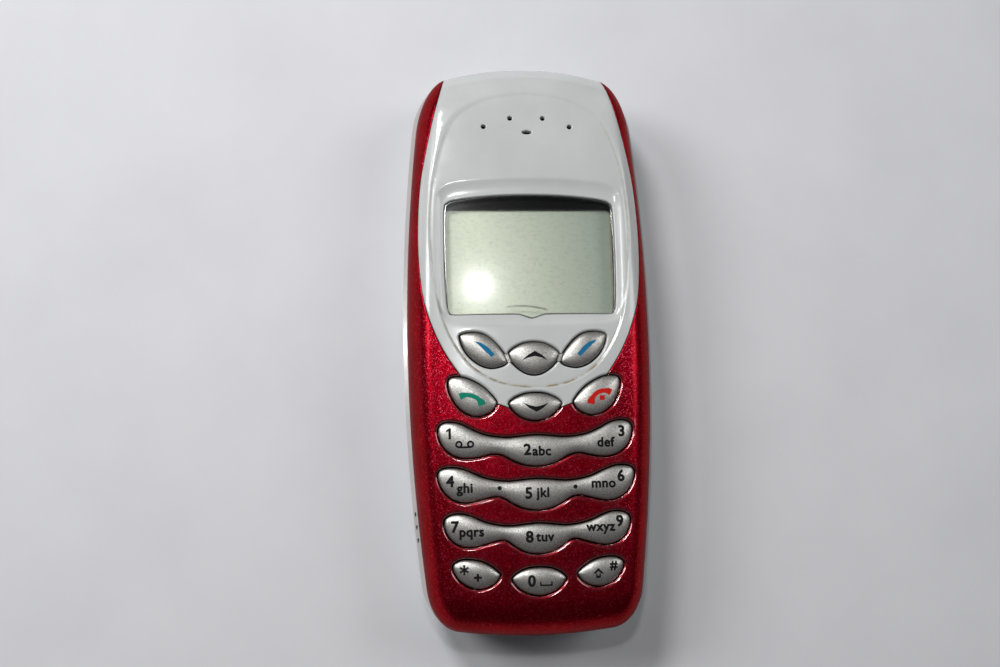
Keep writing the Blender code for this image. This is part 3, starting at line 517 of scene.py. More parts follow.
# ---------------------------------------------------------------- materials
class Look:
    """A Principled material under construction, with short calls for the nodes it often needs."""

    def __init__(self, name, base, roughness, metallic=0.0, **sockets):
        self.material = bpy.data.materials.new(name)
        self.material.use_nodes = True
        self.tree = self.material.node_tree
        self.shader = self.tree.nodes["Principled BSDF"]
        self.set("Base Color", (*base, 1))
        self.set("Roughness", roughness)
        self.set("Metallic", metallic)
        for socket, value in sockets.items():
            self.set(socket.replace("_", " "), value)

    def fill(self, socket, value):
        """Links another node's output into a socket, or sets the socket to a plain value."""
        if isinstance(value, bpy.types.NodeSocket):
            self.tree.links.new(value, socket)
        else:
            socket.default_value = value

    def set(self, socket, value):
        self.fill(self.shader.inputs[socket], value)

    def node(self, kind, **values):
        """A node with its settings and inputs filled in: in0 and in1 are its first and second input."""
        made = self.tree.nodes.new("ShaderNode" + kind)
        for key, value in values.items():
            if key in ("in0", "in1"):
                self.fill(made.inputs[int(key[2:])], value)
            elif hasattr(made, key):
                setattr(made, key, value)
            else:
                self.fill(made.inputs[key.replace("_", " ")], value)
        return made

    def place(self, scale=(1, 1, 1)):
        """Position on the object, in millimetres, stretched by scale."""
        coords = self.node("TexCoord").outputs["Object"]
        return self.node("Mapping", Vector=coords, Scale=tuple(s / MM for s in scale)).outputs[0]

    def noise(self, size, detail, scale=(1, 1, 1)):
        """Noise whose features are about size millimetres across."""
        made = self.node("TexNoise", Vector=self.place(scale), Scale=1 / size, Detail=detail,
                         Roughness=0.55)
        return made.outputs["Fac"]

    def band(self, value, low, high, to=(0.0, 1.0)):
        """The value's stretch from low to high, spread over the range to."""
        made = self.node("MapRange", Value=value, From_Min=low, From_Max=high, To_Min=to[0], To_Max=to[1])
        return made.outputs[0]

    def mix(self, share, first, second):
        """Colour first where share is 0 and second where it is 1."""
        made = self.node("Mix", data_type="RGBA")
        self.fill(made.inputs[0], share)
        for index, colour in ((6, first), (7, second)):
            self.fill(made.inputs[index], (*colour, 1) if isinstance(colour, tuple) else colour)
        return made.outputs[2]

    def math(self, operation, a, b=0.0):
        return self.node("Math", operation=operation, in0=a, in1=b).outputs[0]

    def mark(self, name):
        """A value that the mesh keeps on its points."""
        return self.node("Attribute", attribute_name=name).outputs["Fac"]

    def bump(self, height, strength, depth):
        made = self.node("Bump", Height=height, Strength=strength, Distance=depth * MM)
        self.set("Normal", made.outputs[0])


def red_flake():
    """Crimson lacquer with fine bright flakes under a clear coat that is thickest at the key holes."""
    look = Look("red_flake", (0.4, 0.0, 0.03), 0.34, 0.9, Specular_IOR_Level=0.2,
                Specular_Tint=(0.5, 0.03, 0.06, 1), Coat_Roughness=0.08)
    look.set("Coat Weight", look.band(look.mark("rim"), 0.0, 1.0, (0.12, 1.0)))
    look.set("Coat IOR", look.band(look.mark("rim"), 0.0, 1.0, (1.3, 2.3)))
    flakes = look.node("TexVoronoi", Vector=look.place(), Scale=1 / FLAKE)
    sparkle = look.node("SeparateColor", Color=flakes.outputs["Color"])
    bright = look.band(sparkle.outputs[0], 0.86, 1.0)
    deep = look.mix(look.band(look.noise(6.0, 3), 0.3, 0.7), (0.25, 0.001, 0.007), (0.34, 0.0016, 0.012))
    look.set("Base Color", look.mix(look.math("MULTIPLY", bright, 0.5), deep, (1.0, 0.14, 0.23)))
    look.set("Roughness", look.band(sparkle.outputs[1], 0.0, 1.0, (0.26, 0.4)))
    tilt = look.node("VectorMath", operation="SUBTRACT", in0=flakes.outputs["Color"], in1=(0.5, 0.5, 0.5))
    small = look.node("VectorMath", operation="SCALE", in0=tilt.outputs[0], Scale=0.145)
    facing = look.node("NewGeometry").outputs["Normal"]
    tilted = look.node("VectorMath", operation="ADD", in0=facing, in1=small.outputs[0])
    look.set("Normal", look.node("VectorMath", operation="NORMALIZE", in0=tilted.outputs[0]).outputs[0])
    return look.material


def pale_gloss():
    """Light grey gloss plastic, with a little grime where its steps hold it."""
    look = Look("pale_gloss", (0.58, 0.6, 0.59), 0.22, 0.0, Coat_Weight=0.4, Coat_Roughness=0.09)
    tone = look.mix(look.band(look.noise(9.0, 4), 0.3, 0.7), (0.56, 0.58, 0.57), (0.61, 0.63, 0.62))
    grime = look.math("MULTIPLY", look.mark("grime"), look.band(look.noise(1.6, 5), 0.33, 0.6))
    look.set("Base Color", look.mix(grime, tone, (0.24, 0.17, 0.08)))
    look.set("Roughness", look.band(look.noise(3.0, 5), 0.3, 0.7, (0.17, 0.27)))
    look.bump(look.noise(0.5, 2), 0.08, 0.01)
    return look.material


def silver_paint():
    """Satin silver paint with a fine grain, rubbed dark along its edges."""
    look = Look("silver_paint", (0.5, 0.5, 0.48), 0.36, 0.85)
    grain = look.band(look.noise(0.2, 2), 0.32, 0.68)
    silver = look.mix(grain, (0.31, 0.30, 0.275), (0.70, 0.686, 0.653))
    patchy = look.band(look.noise(1.5, 5), 0.35, 0.75, (0.35, 1.0))
    rubbed = look.math("MULTIPLY", look.mark("edge"), patchy)
    look.set("Base Color", look.mix(rubbed, silver, (0.10, 0.085, 0.065)))
    look.set("Roughness", look.band(grain, 0.0, 1.0, (0.47, 0.36)))
    look.bump(look.noise(0.2, 2), 0.6, 0.02)
    return look.material


def clear_window():
    """The display's clear window: a dark line round it, which is painted shade of the gap to the plate, a
    glossy and a hazy sheen, and scratches.
    """
    look = Look("window_clear", (0.004, 0.004, 0.004), 0.09, 0.0, IOR=3.6,
                Coat_Weight=1.0, Coat_IOR=3.0, Coat_Roughness=0.22)
    fine_scratch = look.band(look.noise(0.12, 2, (0.06, 1.0, 1.0)), 0.6, 0.66)
    marks = look.math("MULTIPLY", fine_scratch, look.band(look.noise(2.5, 2), 0.5, 0.62))
    marks = look.math("MAXIMUM", marks, look.band(look.noise(0.5, 1), 0.76, 0.8, (0.0, 2.5)))
    place = look.node("SeparateXYZ", Vector=look.place())
    # One long scratch, a shallow arc that passes just above the notch
    bow = look.math("MULTIPLY", look.math("POWER", look.math("ADD", place.outputs[0], 2.2), 2.0), 0.028)
    off = look.math("ABSOLUTE", look.math("SUBTRACT", look.math("ADD", place.outputs[1], bow), 5.45))
    near = look.math("ABSOLUTE", look.math("ADD", place.outputs[0], 0.9))
    deep_scratch = look.math("MULTIPLY", look.band(off, 0.05, 0.12, (1.0, 0.0)),
                             look.band(near, 3.6, 4.3, (1.0, 0.0)))
    # painted shade: the pane turns opaque and dark within 0.4 mm of its edge, where the gap to the plate
    # lies in shade
    border = look.band(look.mark("border"), 0.3, 0.7)
    haze = look.band(marks, 0.0, 1.0, (0.09, 0.2))
    clear = look.math("ADD", haze, look.math("MULTIPLY", deep_scratch, 0.6))
    look.set("Alpha", look.math("MAXIMUM", clear, border))
    look.material.surface_render_method = "BLENDED"
    return look.material


def lcd():
    """The liquid crystal cell: pale grey-green, with its faint pixel lattice, and painted light and
    shade: lighter on the left where the lamps' reflection lies, darker to the right.
    """
    look = Look("display_cell_painted_light", (0.7, 0.75, 0.63), 0.45, 0.7)
    place = look.node("SeparateXYZ", Vector=look.place())
    # painted light and shade: the cell's colour runs from light on the left, where the lamps' reflection
    # lies, to dark on the right
    across = look.band(place.outputs[0], -17, 17)
    up = look.band(place.outputs[1], 2, 27)
    share = look.math("ADD", look.math("MULTIPLY", across, 0.85), look.math("MULTIPLY", up, 0.15))
    tone = look.mix(look.band(share, 0.3, 1.0), (0.93, 0.99, 0.80), (0.46, 0.54, 0.46))
    across_dots = look.math("PINGPONG", place.outputs[0], 0.195)
    up_dots = look.math("PINGPONG", place.outputs[1], 0.235)
    lattice = look.math("MINIMUM", look.band(across_dots, 0.0, 0.04), look.band(up_dots, 0.0, 0.04))
    speck = look.band(look.noise(0.55, 3, (0.6, 1.0, 1.0)), 0.5, 0.75)
    dotted = look.mix(look.band(lattice, 0, 1, (0.0, 0.12)), tone, (0.3, 0.36, 0.3))
    look.set("Base Color", look.mix(look.math("MULTIPLY", speck, 0.2), dotted, (0.25, 0.3, 0.24)))
    return look.material


def plain_plastic(name, colour, roughness, grain=0.25, metallic=0.0):
    """Moulded or plain sheet material: slight tone changes and a fine moulded grain."""
    look = Look(name, colour, roughness, metallic)
    darker = tuple(c * 0.78 for c in colour)
    look.set("Base Color", look.mix(look.band(look.noise(2.5, 5), 0.35, 0.65), darker, colour))
    spread = (roughness * 0.8, min(1, roughness * 1.2))
    look.set("Roughness", look.band(look.noise(0.8, 3), 0.3, 0.7, spread))
    look.bump(look.noise(0.12, 2), grain, 0.02)
    return look.material


def ink(name, colour):
    """Matt printing ink, a little uneven."""
    look = Look(name, colour, 0.7, Specular_IOR_Level=0.1)
    thin = tuple(c * 0.7 + 0.01 for c in colour)
    look.set("Base Color", look.mix(look.band(look.noise(0.3, 3), 0.45, 0.8), colour, thin))
    look.bump(look.noise(0.1, 2), 0.2, 0.01)
    return look.material


RED = red_flake()
PALE = pale_gloss()
SILVER = silver_paint()
CLEAR = clear_window()
LCD = lcd()
BEZEL = plain_plastic("bezel_black", (0.004, 0.004, 0.005), 0.16, 0.02)
BLACK = plain_plastic("moulded_black", (0.02, 0.02, 0.022), 0.5)
RUBBER = plain_plastic("dark_rubber", (0.05, 0.048, 0.045), 0.75, 0.4)
PALE_RUBBER = plain_plastic("pale_rubber", (0.42, 0.43, 0.42), 0.6, 0.3)
LAMINATE = plain_plastic("green_laminate", (0.01, 0.09, 0.035), 0.35, 0.1)
STEEL = plain_plastic("bright_steel", (0.55, 0.55, 0.54), 0.28, 0.1, 1.0)
GILT = plain_plastic("gilt_brass", (0.72, 0.5, 0.2), 0.25, 0.1, 1.0)
CARD = plain_plastic("card_plastic", (0.6, 0.62, 0.62), 0.4, 0.1)
FILM = plain_plastic("pale_film", (0.5, 0.47, 0.33), 0.35, 0.05)
BLACK_INK = ink("black_ink", (0.008, 0.008, 0.009))
GREEN_INK = ink("green_ink", (0.006, 0.24, 0.15))
RED_INK = ink("red_ink", (0.6, 0.012, 0.008))
BLUE_INK = ink("blue_ink", (0.012, 0.17, 0.34))


# ---------------------------------------------------------------- front: outlines used by several pieces
SOLO_KEYS = {
    "key_soft_left": SOFT_KEY, "key_soft_right": flipped(SOFT_KEY), "key_up": UP_KEY,
    "key_call": CALL_KEY, "key_end": flipped(CALL_KEY), "key_down": DOWN_KEY,
    "key_star": STAR_KEY, "key_0": ZERO_KEY, "key_hash": flipped(STAR_KEY),
}
KEY_LOOPS = [smooth_loop(points) for points in [*SOLO_KEYS.values(), *BARS]]
HOLES = [offset(loop, KEY_GAP) for loop in KEY_LOOPS] + [np.array(BRIDGE), np.array(flipped(BRIDGE))]
EDGE = smooth_loop(FACE_EDGE, 0.5)
FIELD_LOOP = smooth_loop(FIELD, 0.5)
POCKET_LOOP = smooth_loop(POCKET, 0.5)
WINDOW_LOOP = smooth_loop(WINDOW, 0.35)
OUTLINE = FRONT.ring(1)
RINGS = [FRONT.ring(share) for share in ROLL_SHARES]
HOLE_LADDERS = [step for loop in HOLES[:-2] for step in ladder(loop, (0.05, 0.16, 0.45))]
EAR_LOOPS = [circle(x, y, 0.5, 18) for x, y in EAR_HOLES] + [oval(*EAR_SLOT)]


def from_hole(points):
    """Distance to the edge of the nearest key hole, or 1 for points that are further off."""
    return np.min([distance(loop, points, 1.0) for loop in HOLES], 0)


def outside_all(loops, points):
    clear = np.ones(len(points), bool)
    for loop in loops:
        clear &= ~inside(loop, points)
    return clear


def top_end_at(x, z):
    """How far the front's skin reaches towards the top end at a height."""
    share = (z - PARTING) / (crown(x, 57) - PARTING)
    return FRONT.end(x, True) - FRONT.top_roll * (1 - (1 - share ** FRONT.BEND) ** (1 / FRONT.BEND))


def power_stadium(grow):
    """The power key's outline in the top end, grown by some distance, as x and height."""
    a, b = POWER_HALF[0] + grow, POWER_HALF[1] + grow
    return box(-a, a, POWER_Z - b, POWER_Z + b, b, 10)


def notch(x, y):
    """How far the charger notch reaches above the parting plane."""
    arch = np.sqrt(np.maximum(0, SOCKET_R ** 2 - x ** 2)) - 1.1
    return np.where(y < -53.5, np.maximum(0, arch), 0)


def cover_top(x, y):
    """The coloured cover's outer surface, with its edges eased at the holes and at the seam."""
    p = np.stack([x, y], 1)
    z = front_skin(x, y) - round_over(from_hole(p), HOLE_ROUND)
    z -= round_over(distance(EDGE, p, 1.0) - SEAM / 2, SEAM_ROUND)
    return np.maximum(z, PARTING + LEAST_WALL + notch(x, y))


def key_rim(x, y):
    """1 on the cover's eased edges around the keys, 0 away from them."""
    return np.clip(1.6 - from_hole(np.stack([x, y], 1)) / 0.5, 0, 1)


def cover_under(x, y):
    return np.maximum(front_inner(x, y), PARTING + notch(x, y))


def plate_top(x, y):
    """The face plate's outer surface: rim, lower field and the pocket around the window.

    The step from the rim to the field gets wider and lower towards the top end.
    """
    p = np.stack([x, y], 1)
    softer = ease((y - 25) / 15)
    width = 0.7 + 0.9 * softer
    into_field = signed(FIELD_LOOP, p, 2.0)
    into_pocket = signed(POCKET_LOOP, p, 3.0)
    into_pocket = 0.5 * (into_pocket + np.sqrt(into_pocket ** 2 + POCKET_ROUND ** 2))
    down_slope = into_pocket / (into_pocket + distance(WINDOW_LOOP, p, 3.0))
    z = front_skin(x, y) - RIM_DROP * (1 - 0.4 * softer) * ease((into_field + width / 2) / width)
    z -= POCKET_DROP * (1 - (1 - down_slope) ** 2)
    z -= round_over(from_hole(p), HOLE_ROUND) + round_over(distance(EDGE, p, 1.0) - SEAM / 2, SEAM_ROUND)
    z -= round_over(distance(WINDOW_LOOP, p, 1.0), 0.3)
    for loop in EAR_LOOPS:
        z -= round_over(distance(loop, p, 1.0), EAR_ROUND)
    return np.maximum(z, PARTING + LEAST_WALL)


def plate_under(x, y):
    return np.minimum(front_inner(x, y), plate_top(x, y) - LEAST_WALL)


def grime(x, y):
    """Where dirt gathers on the plate: along the step at its rim and along the seam."""
    p = np.stack([x, y], 1)
    step = np.abs(signed(FIELD_LOOP, p, 2.0) - 0.15)
    amount = np.interp(y, (-5, 5, 38, 46), (1.2, 0.4, 0.35, 0.12))
    return np.clip(1 - step / 0.3, 0, 1) * amount + 0.4 * np.clip(1 - distance(EDGE, p, 1.0) / 0.4, 0, 1)


def front_cover():
    """The coloured shell: its two arms run up beside the face plate to the top corners."""
    seam = offset(EDGE, SEAM / 2)

    def keep(p):
        return inside(OUTLINE, p) & ~inside(seam, p) & outside_all(HOLES, p)

    loops = [OUTLINE, seam, *HOLES, *RINGS, *HOLE_LADDERS, *ladder(seam, (0.06, 0.22))]
    shape = plan(loops, keep, grid(1.0))
    cover = slab("front_cover_skin", shape, cover_top, cover_under, RED, "phone", {"rim": key_rim})
    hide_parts("front_cover")


def face_plate():
    """The pale plate around the display, which wraps over the top end."""
    seam = offset(EDGE, -SEAM / 2)
    x, z = fine(power_stadium(0.2), 0.5).T
    power_hole = np.stack([x, top_end_at(x, z)], 1)
    openings = [*HOLES, WINDOW_LOOP, *EAR_LOOPS, power_hole]

    def keep(p):
        return inside(OUTLINE, p) & inside(seam, p) & outside_all(openings, p)

    loops = [OUTLINE, seam, *openings, *RINGS, *HOLE_LADDERS]
    loops += ladder(seam, (-0.06, -0.22)) + ladder(WINDOW_LOOP, (0.04, 0.12, 0.3))
    loops += ladder(FIELD_LOOP, (-0.8, -0.4, -0.2, 0, 0.2, 0.4, 0.8))
    loops += ladder(POCKET_LOOP, (-1.5, -1.0, -0.6, -0.3, 0, 0.3, 0.6))
    loops += [step for loop in EAR_LOOPS for step in ladder(loop, (0.06, 0.18))]
    shape = plan(loops, keep, grid(1.0))
    plate = slab("face_plate_skin", shape, plate_top, plate_under, PALE, "phone", {"grime": grime})
    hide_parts("face_plate")


def window():
    """The clear window, a shallow dome that lies in the plate's pocket."""
    edge = offset(WINDOW_LOOP, -PANE_GAP)

    def from_edge(x, y):
        return distance(edge, np.stack([x, y], 1), 1.0)

    def dome(x, y):
        return PANE_TOP - (x ** 2 + (y - PANE_MIDDLE) ** 2) / (2 * PANE_RADIUS)

    def top(x, y):
        return dome(x, y) - round_over(from_edge(x, y), 0.2)

    shape = plan([edge, *ladder(edge, (-0.06, -0.2, -0.4))], lambda p: inside(edge, p), grid(2.0))
    # border is 1 at the pane's edge and 0 from 0.4 mm in, and places the pane's painted edge shade
    piece = slab("window_pane", shape, top, lambda x, y: dome(x, y) - PANE_THICK, CLEAR, "phone",
                 {"border": lambda x, y: np.clip(1 - from_edge(x, y) / 0.4, 0, 1)})
    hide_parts("display_window")


# ---------------------------------------------------------------- keys
def membrane(points, tris):
    """How far a sheet stretched over the outline bulges at each point, from 0 at its border to 1."""
    n = len(points)
    matrix, load = np.zeros((n, n)), np.zeros(n)
    for k in range(3):
        a, b, c = tris[:, k], tris[:, (k + 1) % 3], tris[:, (k + 2) % 3]
        u, v = points[a] - points[c], points[b] - points[c]
        cross = u[:, 0] * v[:, 1] - u[:, 1] * v[:, 0]
        weight = np.sum(u * v, 1) / np.maximum(np.abs(cross), 1e-9) / 2
        np.add.at(matrix, (a, b), -weight)
        np.add.at(matrix, (b, a), -weight)
        np.add.at(matrix, (a, a), weight)
        np.add.at(matrix, (b, b), weight)
        np.add.at(load, a, np.abs(cross) / 6)
    free = np.setdiff1d(np.arange(n), np.unique(boundary(tris)))
    bulge = np.zeros(n)
    bulge[free] = np.linalg.solve(matrix[np.ix_(free, free)], load[free])
    return bulge / bulge.max()


def sheet_normals(points, tris):
    """Normals of a sheet of triangles at its points, weighted by area."""
    a, b, c = points[tris[:, 0]], points[tris[:, 1]], points[tris[:, 2]]
    face = np.cross(b - a, c - a)
    normals = np.zeros((len(points), 3))
    for k in range(3):
        np.add.at(normals, tris[:, k], face)
    return normals / np.linalg.norm(normals, axis=1)[:, None]


def key_surface(loop, splits=()):
    """A key's domed top: the points and triangles of its plan, and the height of each point."""
    steps = ladder(loop, (-0.03, -0.09, -0.18, -0.32, -0.5, -0.75, -1.05))
    points, tris = plan([loop, *steps, *splits], lambda p: inside(loop, p), grid(0.45), 0.15)
    bulge = membrane(points, tris)
    x, y = points.T
    dome = 0.6 * np.sqrt(1 - (1 - bulge) ** 2) + 0.4 * bulge
    z = crown(x, y) - KEY_SUNK + (KEY_PROUD + KEY_SUNK) * dome
    return points, tris, z


def key_cap(name, loop, surface, tris, body):
    """The painted cap over some of a key surface's triangles."""
    points, every, z = surface
    up = sheet_normals(np.column_stack([points, z]), every)
    used, index = np.unique(tris, return_inverse=True)
    down = np.tile([0.0, 0.0, -1.0], (len(used), 1))
    piece = stacked(name, (points[used], index.reshape(tris.shape)), z[used],
                    np.full(len(used), KEY_FOOT), SILVER, body, (up[used], down))
    keep_mark(piece, "edge", np.clip(1 - distance(loop, points[used], 2.0) / 0.35, 0, 1))
    return piece


def surface_tree(surface):
    """A key's surface, ready to be looked up when its legend is printed."""
    points, tris, z = surface
    return BVHTree.FromPolygons([tuple(p) for p in np.column_stack([points, z])],
                                [tuple(int(i) for i in t) for t in tris])


def solo_keys():
    """The nine keys that stand alone. Returns each one's surface, to print its legend on."""
    trees = {}
    for name, points in SOLO_KEYS.items():
        loop = smooth_loop(points)
        surface = key_surface(loop)
        piece = key_cap(name + "_cap", loop, surface, surface[1], name)
        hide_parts(name)
        trees[name] = surface_tree(surface)
    return trees


def bridges():
    """The keypad sheet's two silver webs, which show between the soft keys and the up key."""
    for word, outline in (("left", BRIDGE), ("right", flipped(BRIDGE))):
        loop = offset(even(np.array(outline), 0.4), -0.14)
        clear = [offset(KEY_LOOPS[i], 0.12) for i in range(3)]

        def keep(p, loop=loop):
            return inside(loop, p) & outside_all(clear, p)

        shape = plan([loop, *clear], keep, grid(0.4), 0.15)
        slab(f"keypad_bridge_{word}", shape, lambda x, y: crown(x, y) - BRIDGE_SUNK,
             lambda x, y: np.full(len(x), KEY_FOOT), SILVER, "phone")


def bend_between(piece):
    """Bakes the piece's placement into its mesh."""
    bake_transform(piece)


def bar_keys():
    """The three wavy bars, each in two halves that meet in the middle."""
    trees = {}
    for row, bar in enumerate(BARS):
        loop = smooth_loop(bar)
        low, high = loop[:, 1].min() - 1, loop[:, 1].max() + 1
        surface = key_surface(loop, [fine(box(-30, 0, low, high), 0.4)])
        points, tris, _ = surface
        trees[row] = surface_tree(surface)
        middles = points[tris].mean(1)[:, 0]
        for side, word in ((-1, "left"), (1, "right")):
            half = tris[middles * side > 0]
            piece = key_cap(f"key_bar_{row + 1}_{word}", loop, surface, half, None)
            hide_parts(f"key_{3 * row + 2 + side}", f"key_{3 * row + 2}")
            bend_between(piece)
    return trees


# ---------------------------------------------------------------- printing on the keys
# A digit 1 of size 1, with the short flag that Blender's own font lacks
ONE = np.array([
    (-0.06, -0.36), (-0.06, 0.19), (-0.2, 0.1), (-0.2, 0.24), (-0.02, 0.37), (0.1, 0.37), (0.1, -0.36)])


def text_loops(text, size):
    """The outlines of some text, centred on the origin."""
    if text == "1":
        return [ONE * size]
    curve = bpy.data.curves.new("letters", "FONT")
    curve.body = text
    curve.size = size
    curve.space_character = 1.06
    curve.resolution_u = 3
    carrier = bpy.data.objects.new("letters", curve)
    mesh = bpy.data.meshes.new_from_object(carrier)
    mesh.calc_loop_triangles()
    flat = np.array([v.co[:2] for v in mesh.vertices])
    tris = np.array([t.vertices[:] for t in mesh.loop_triangles])
    _, first, index = np.unique(np.round(flat, 4), axis=0, return_index=True, return_inverse=True)
    tris = index.reshape(-1)[tris]
    flat = flat[first]
    bpy.data.objects.remove(carrier)
    bpy.data.curves.remove(curve)
    bpy.data.meshes.remove(mesh)
    loops = border_loops(flat, tris)
    every = np.concatenate(loops)
    middle = (every.min(0) + every.max(0)) / 2
    return [offset(fine(loop - middle, 0.1), BOLDER * size * np.sign(area(loop))) for loop in loops]


def stroke(points, widths, steps=6):
    """The outline of a line through the points that is as wide at each as widths says."""
    p, w = np.array(points, float), np.array(widths, float)
    at = np.linspace(0, len(p) - 1, (len(p) - 1) * steps + 1)
    line = np.stack([np.interp(at, range(len(p)), p[:, i]) for i in (0, 1)], 1)
    half = np.interp(at, range(len(p)), w)[:, None] / 2
    along = np.gradient(line, axis=0)
    along /= np.linalg.norm(along, axis=1)[:, None]
    across = np.stack([-along[:, 1], along[:, 0]], 1) * half
    return np.concatenate([line + across, (line - across)[::-1]])


def asterisk(x, y, r):
    """A six-armed star with blunt arms."""
    rows = []
    for k in range(6):
        for turn, reach in ((-11, r), (11, r), (30, 0.36 * r)):
            a = math.radians(90 + 60 * k + turn)
            rows.append((x + reach * math.cos(a), y + reach * math.sin(a)))
    return np.array(rows)


def arc(x, y, r, start, end):
    """Points along part of a circle, between two angles in degrees."""
    a = np.radians(np.linspace(start, end, 12))
    return np.stack([x + r * np.cos(a), y + r * np.sin(a)], 1)


def print_on(name, loops, tree, finish, body):
    """A thin layer of ink in the loops' shape, lying on a key's surface."""
    def keep(p):
        return sum(turns(loop, p) for loop in loops) != 0

    every = np.concatenate(loops)
    fill = grid(0.3)
    fill = fill[((fill > every.min(0)) & (fill < every.max(0))).all(1)]
    points, tris = plan([fine(loop) for loop in loops], keep, fill, 0.08)
    down = Vector((0, 0, -1))
    z = np.array([tree.ray_cast(Vector((x, y, 2 * CROWN)), down)[0].z for x, y in points])
    return stacked(name, (points, tris), z + INK_THICK, z - INK_DEEP, finish, body)


def shifted(loops, x, y):
    return [loop + (x, y) for loop in loops]


# Text and where its middle is, for each key of the three bars
BAR_TEXT = (
    (("1", -16.5, -19.4), ("2", -1.8, -22.6), ("3", 16.4, -19.3)),
    (("4", -16.5, -28.3), ("5", -1.75, -30.8), ("6", 16.0, -27.8)),
    (("7", -15.7, -36.8), ("8", -1.75, -38.9), ("9", 15.5, -36.3)),
)
BAR_LETTERS = (
    (None, ("abc", 0.9, -22.9), ("def", 13.3, -21.4)),
    (("ghi", -13.8, -29.9), ("jkl", 0.9, -31.0), ("mno", 12.6, -29.4)),
    (("pqrs", -12.6, -38.3), ("tuv", 1.15, -39.1), ("wxyz", 11.8, -37.8)),
)
BAR_PRINT = (("digit", BAR_TEXT, DIGIT_SIZE), ("letters", BAR_LETTERS, LETTER_SIZE))


def bar_legends(trees):
    """Digits and letters, the voice-mail sign on the 1 and the guide dots beside the 5."""
    for row in range(3):
        for column in range(3):
            body = f"key_{3 * row + column + 1}"
            for kind, table, size in BAR_PRINT:
                if table[row][column]:
                    text, x, y = table[row][column]
                    loops = shifted(text_loops(text, size), x, y)
                    print_on(f"{kind}_{text}", loops, trees[row], BLACK_INK, body)
    tape = [circle(x, -21.45, r)[::step] for x in (-14.75, -12.55) for r, step in ((0.7, 1), (0.33, -1))]
    print_on("tape_reels", tape, trees[0], BLACK_INK, "key_1")
    print_on("tape_line", [box(-14.7, -12.6, -22.17, -21.8)], trees[0], BLACK_INK, "key_1")
    for side, word in ((-1, "left"), (1, "right")):
        loop = circle(side * 7.2, -29.75, 0.4, 16)
        dot = print_on(f"guide_dot_{word}", [loop], trees[1], BLACK_INK, None)
        bend_between(dot)


def solo_legends(trees):
    """The printing on the keys that stand alone."""
    def put(name, loops, key, finish=BLACK_INK):
        print_on(name, loops, trees[key], finish, key)

    chevron = [(-2.4, -5.6), (-1.3, -4.6), (0.1, -3.8), (1.5, -4.6), (2.55, -5.6),
               (1.35, -5.1), (0.1, -4.8), (-1.15, -5.1)]
    down = [(x, -19.35 - y) for x, y in chevron]
    put("chevron_up", [np.array(chevron)], "key_up")
    put("chevron_down", [np.array(down)], "key_down")
    left = stroke([(-11.3, -1.85), (-10.3, -2.4), (-9.1, -3.4), (-7.9, -4.65)], (0.1, 0.65, 0.95, 0.8))
    right = stroke([(12.0, -1.8), (10.9, -2.4), (9.8, -3.4), (8.6, -4.65)], (0.3, 0.75, 0.95, 0.8))
    put("stroke_left", [left], "key_soft_left", BLUE_INK)
    put("stroke_right", [right], "key_soft_right", BLUE_INK)
    ends = [1.35, 1.5, 1.15]
    handset = stroke(arc(-13.1, -15.3, 3.2, 115, 22), [1.2, 1.25, 1.0] + [0.85] * 6 + ends[::-1])
    put("handset_call", [handset], "key_call", GREEN_INK)
    hung = stroke(arc(13.35, -14.35, 2.75, 175, 62), ends + [0.85] * 6 + [1.0, 1.25, 1.2])
    put("handset_end", [hung], "key_end", RED_INK)
    put("handset_mark", [box(12.35, 13.35, -13.4, -12.5)], "key_end", RED_INK)

    put("star", [asterisk(-14.1, -44.75, 0.95)], "key_star")
    put("plus", shifted(text_loops("+", 2.7), -11.6, -46.2), "key_star")
    put("digit_0", shifted(text_loops("0", DIGIT_SIZE), -1.5, -47.05), "key_0")
    put("hash", shifted(text_loops("#", 2.4), 14.1, -44.6), "key_hash")
    space = np.array([(0.0, -47.2), (0.28, -47.2), (0.28, -47.75), (2.12, -47.75), (2.12, -47.2),
                      (2.4, -47.2), (2.4, -48.03), (0.0, -48.03)])
    put("space_mark", [space], "key_0")
    arrow = np.array([(0, 1.0), (-1.05, -0.05), (-0.45, -0.05), (-0.45, -0.85), (0.45, -0.85),
                      (0.45, -0.05), (1.05, -0.05)])
    inner = arrow[::-1] * 0.46 - (0, 0.02)
    put("shift_arrow", shifted([arrow, inner], 11.1, -45.95), "key_hash")


# ---------------------------------------------------------------- rear and end pieces
def carve(piece, cutters):
    """Cuts the cutters' shapes out of the piece for good."""
    for cutter in cutters:
        modifier = piece.modifiers.new("carve", "BOOLEAN")
        modifier.operation, modifier.solver, modifier.object = "DIFFERENCE", "EXACT", cutter
    graph = bpy.context.evaluated_depsgraph_get()
    graph.update()
    result = bpy.data.meshes.new_from_object(piece.evaluated_get(graph))
    piece.modifiers.clear()
    piece.data = result
    result.name = piece.name
    for cutter in cutters:
        bpy.data.objects.remove(cutter)


def loft(name, sections, finish, body=None):
    """A closed piece through equal-sized cross-sections, capped at both ends."""
    n = len(sections[0])
    faces = [tuple(range(n))[::-1]]
    for k in range(len(sections) - 1):
        for i in range(n):
            j = (i + 1) % n
            faces.append((k * n + i, k * n + j, (k + 1) * n + j, (k + 1) * n + i))
    faces.append(tuple(range((len(sections) - 1) * n, len(sections) * n)))
    return mesh_piece(name, np.concatenate(sections), faces, finish, body)


def end_cutter(name, profile, depth):
    """A cutter with this profile in x and z, from y = depth to well outside the bottom end."""
    x, z = profile.T
    return loft(name, [np.stack([x, np.full(len(x), y), z], 1) for y in (depth, -62)], PALE)


def button_oval(grow):
    x, y, a, b = BUTTON
    return oval(x, y, a + grow, b + grow, 56)


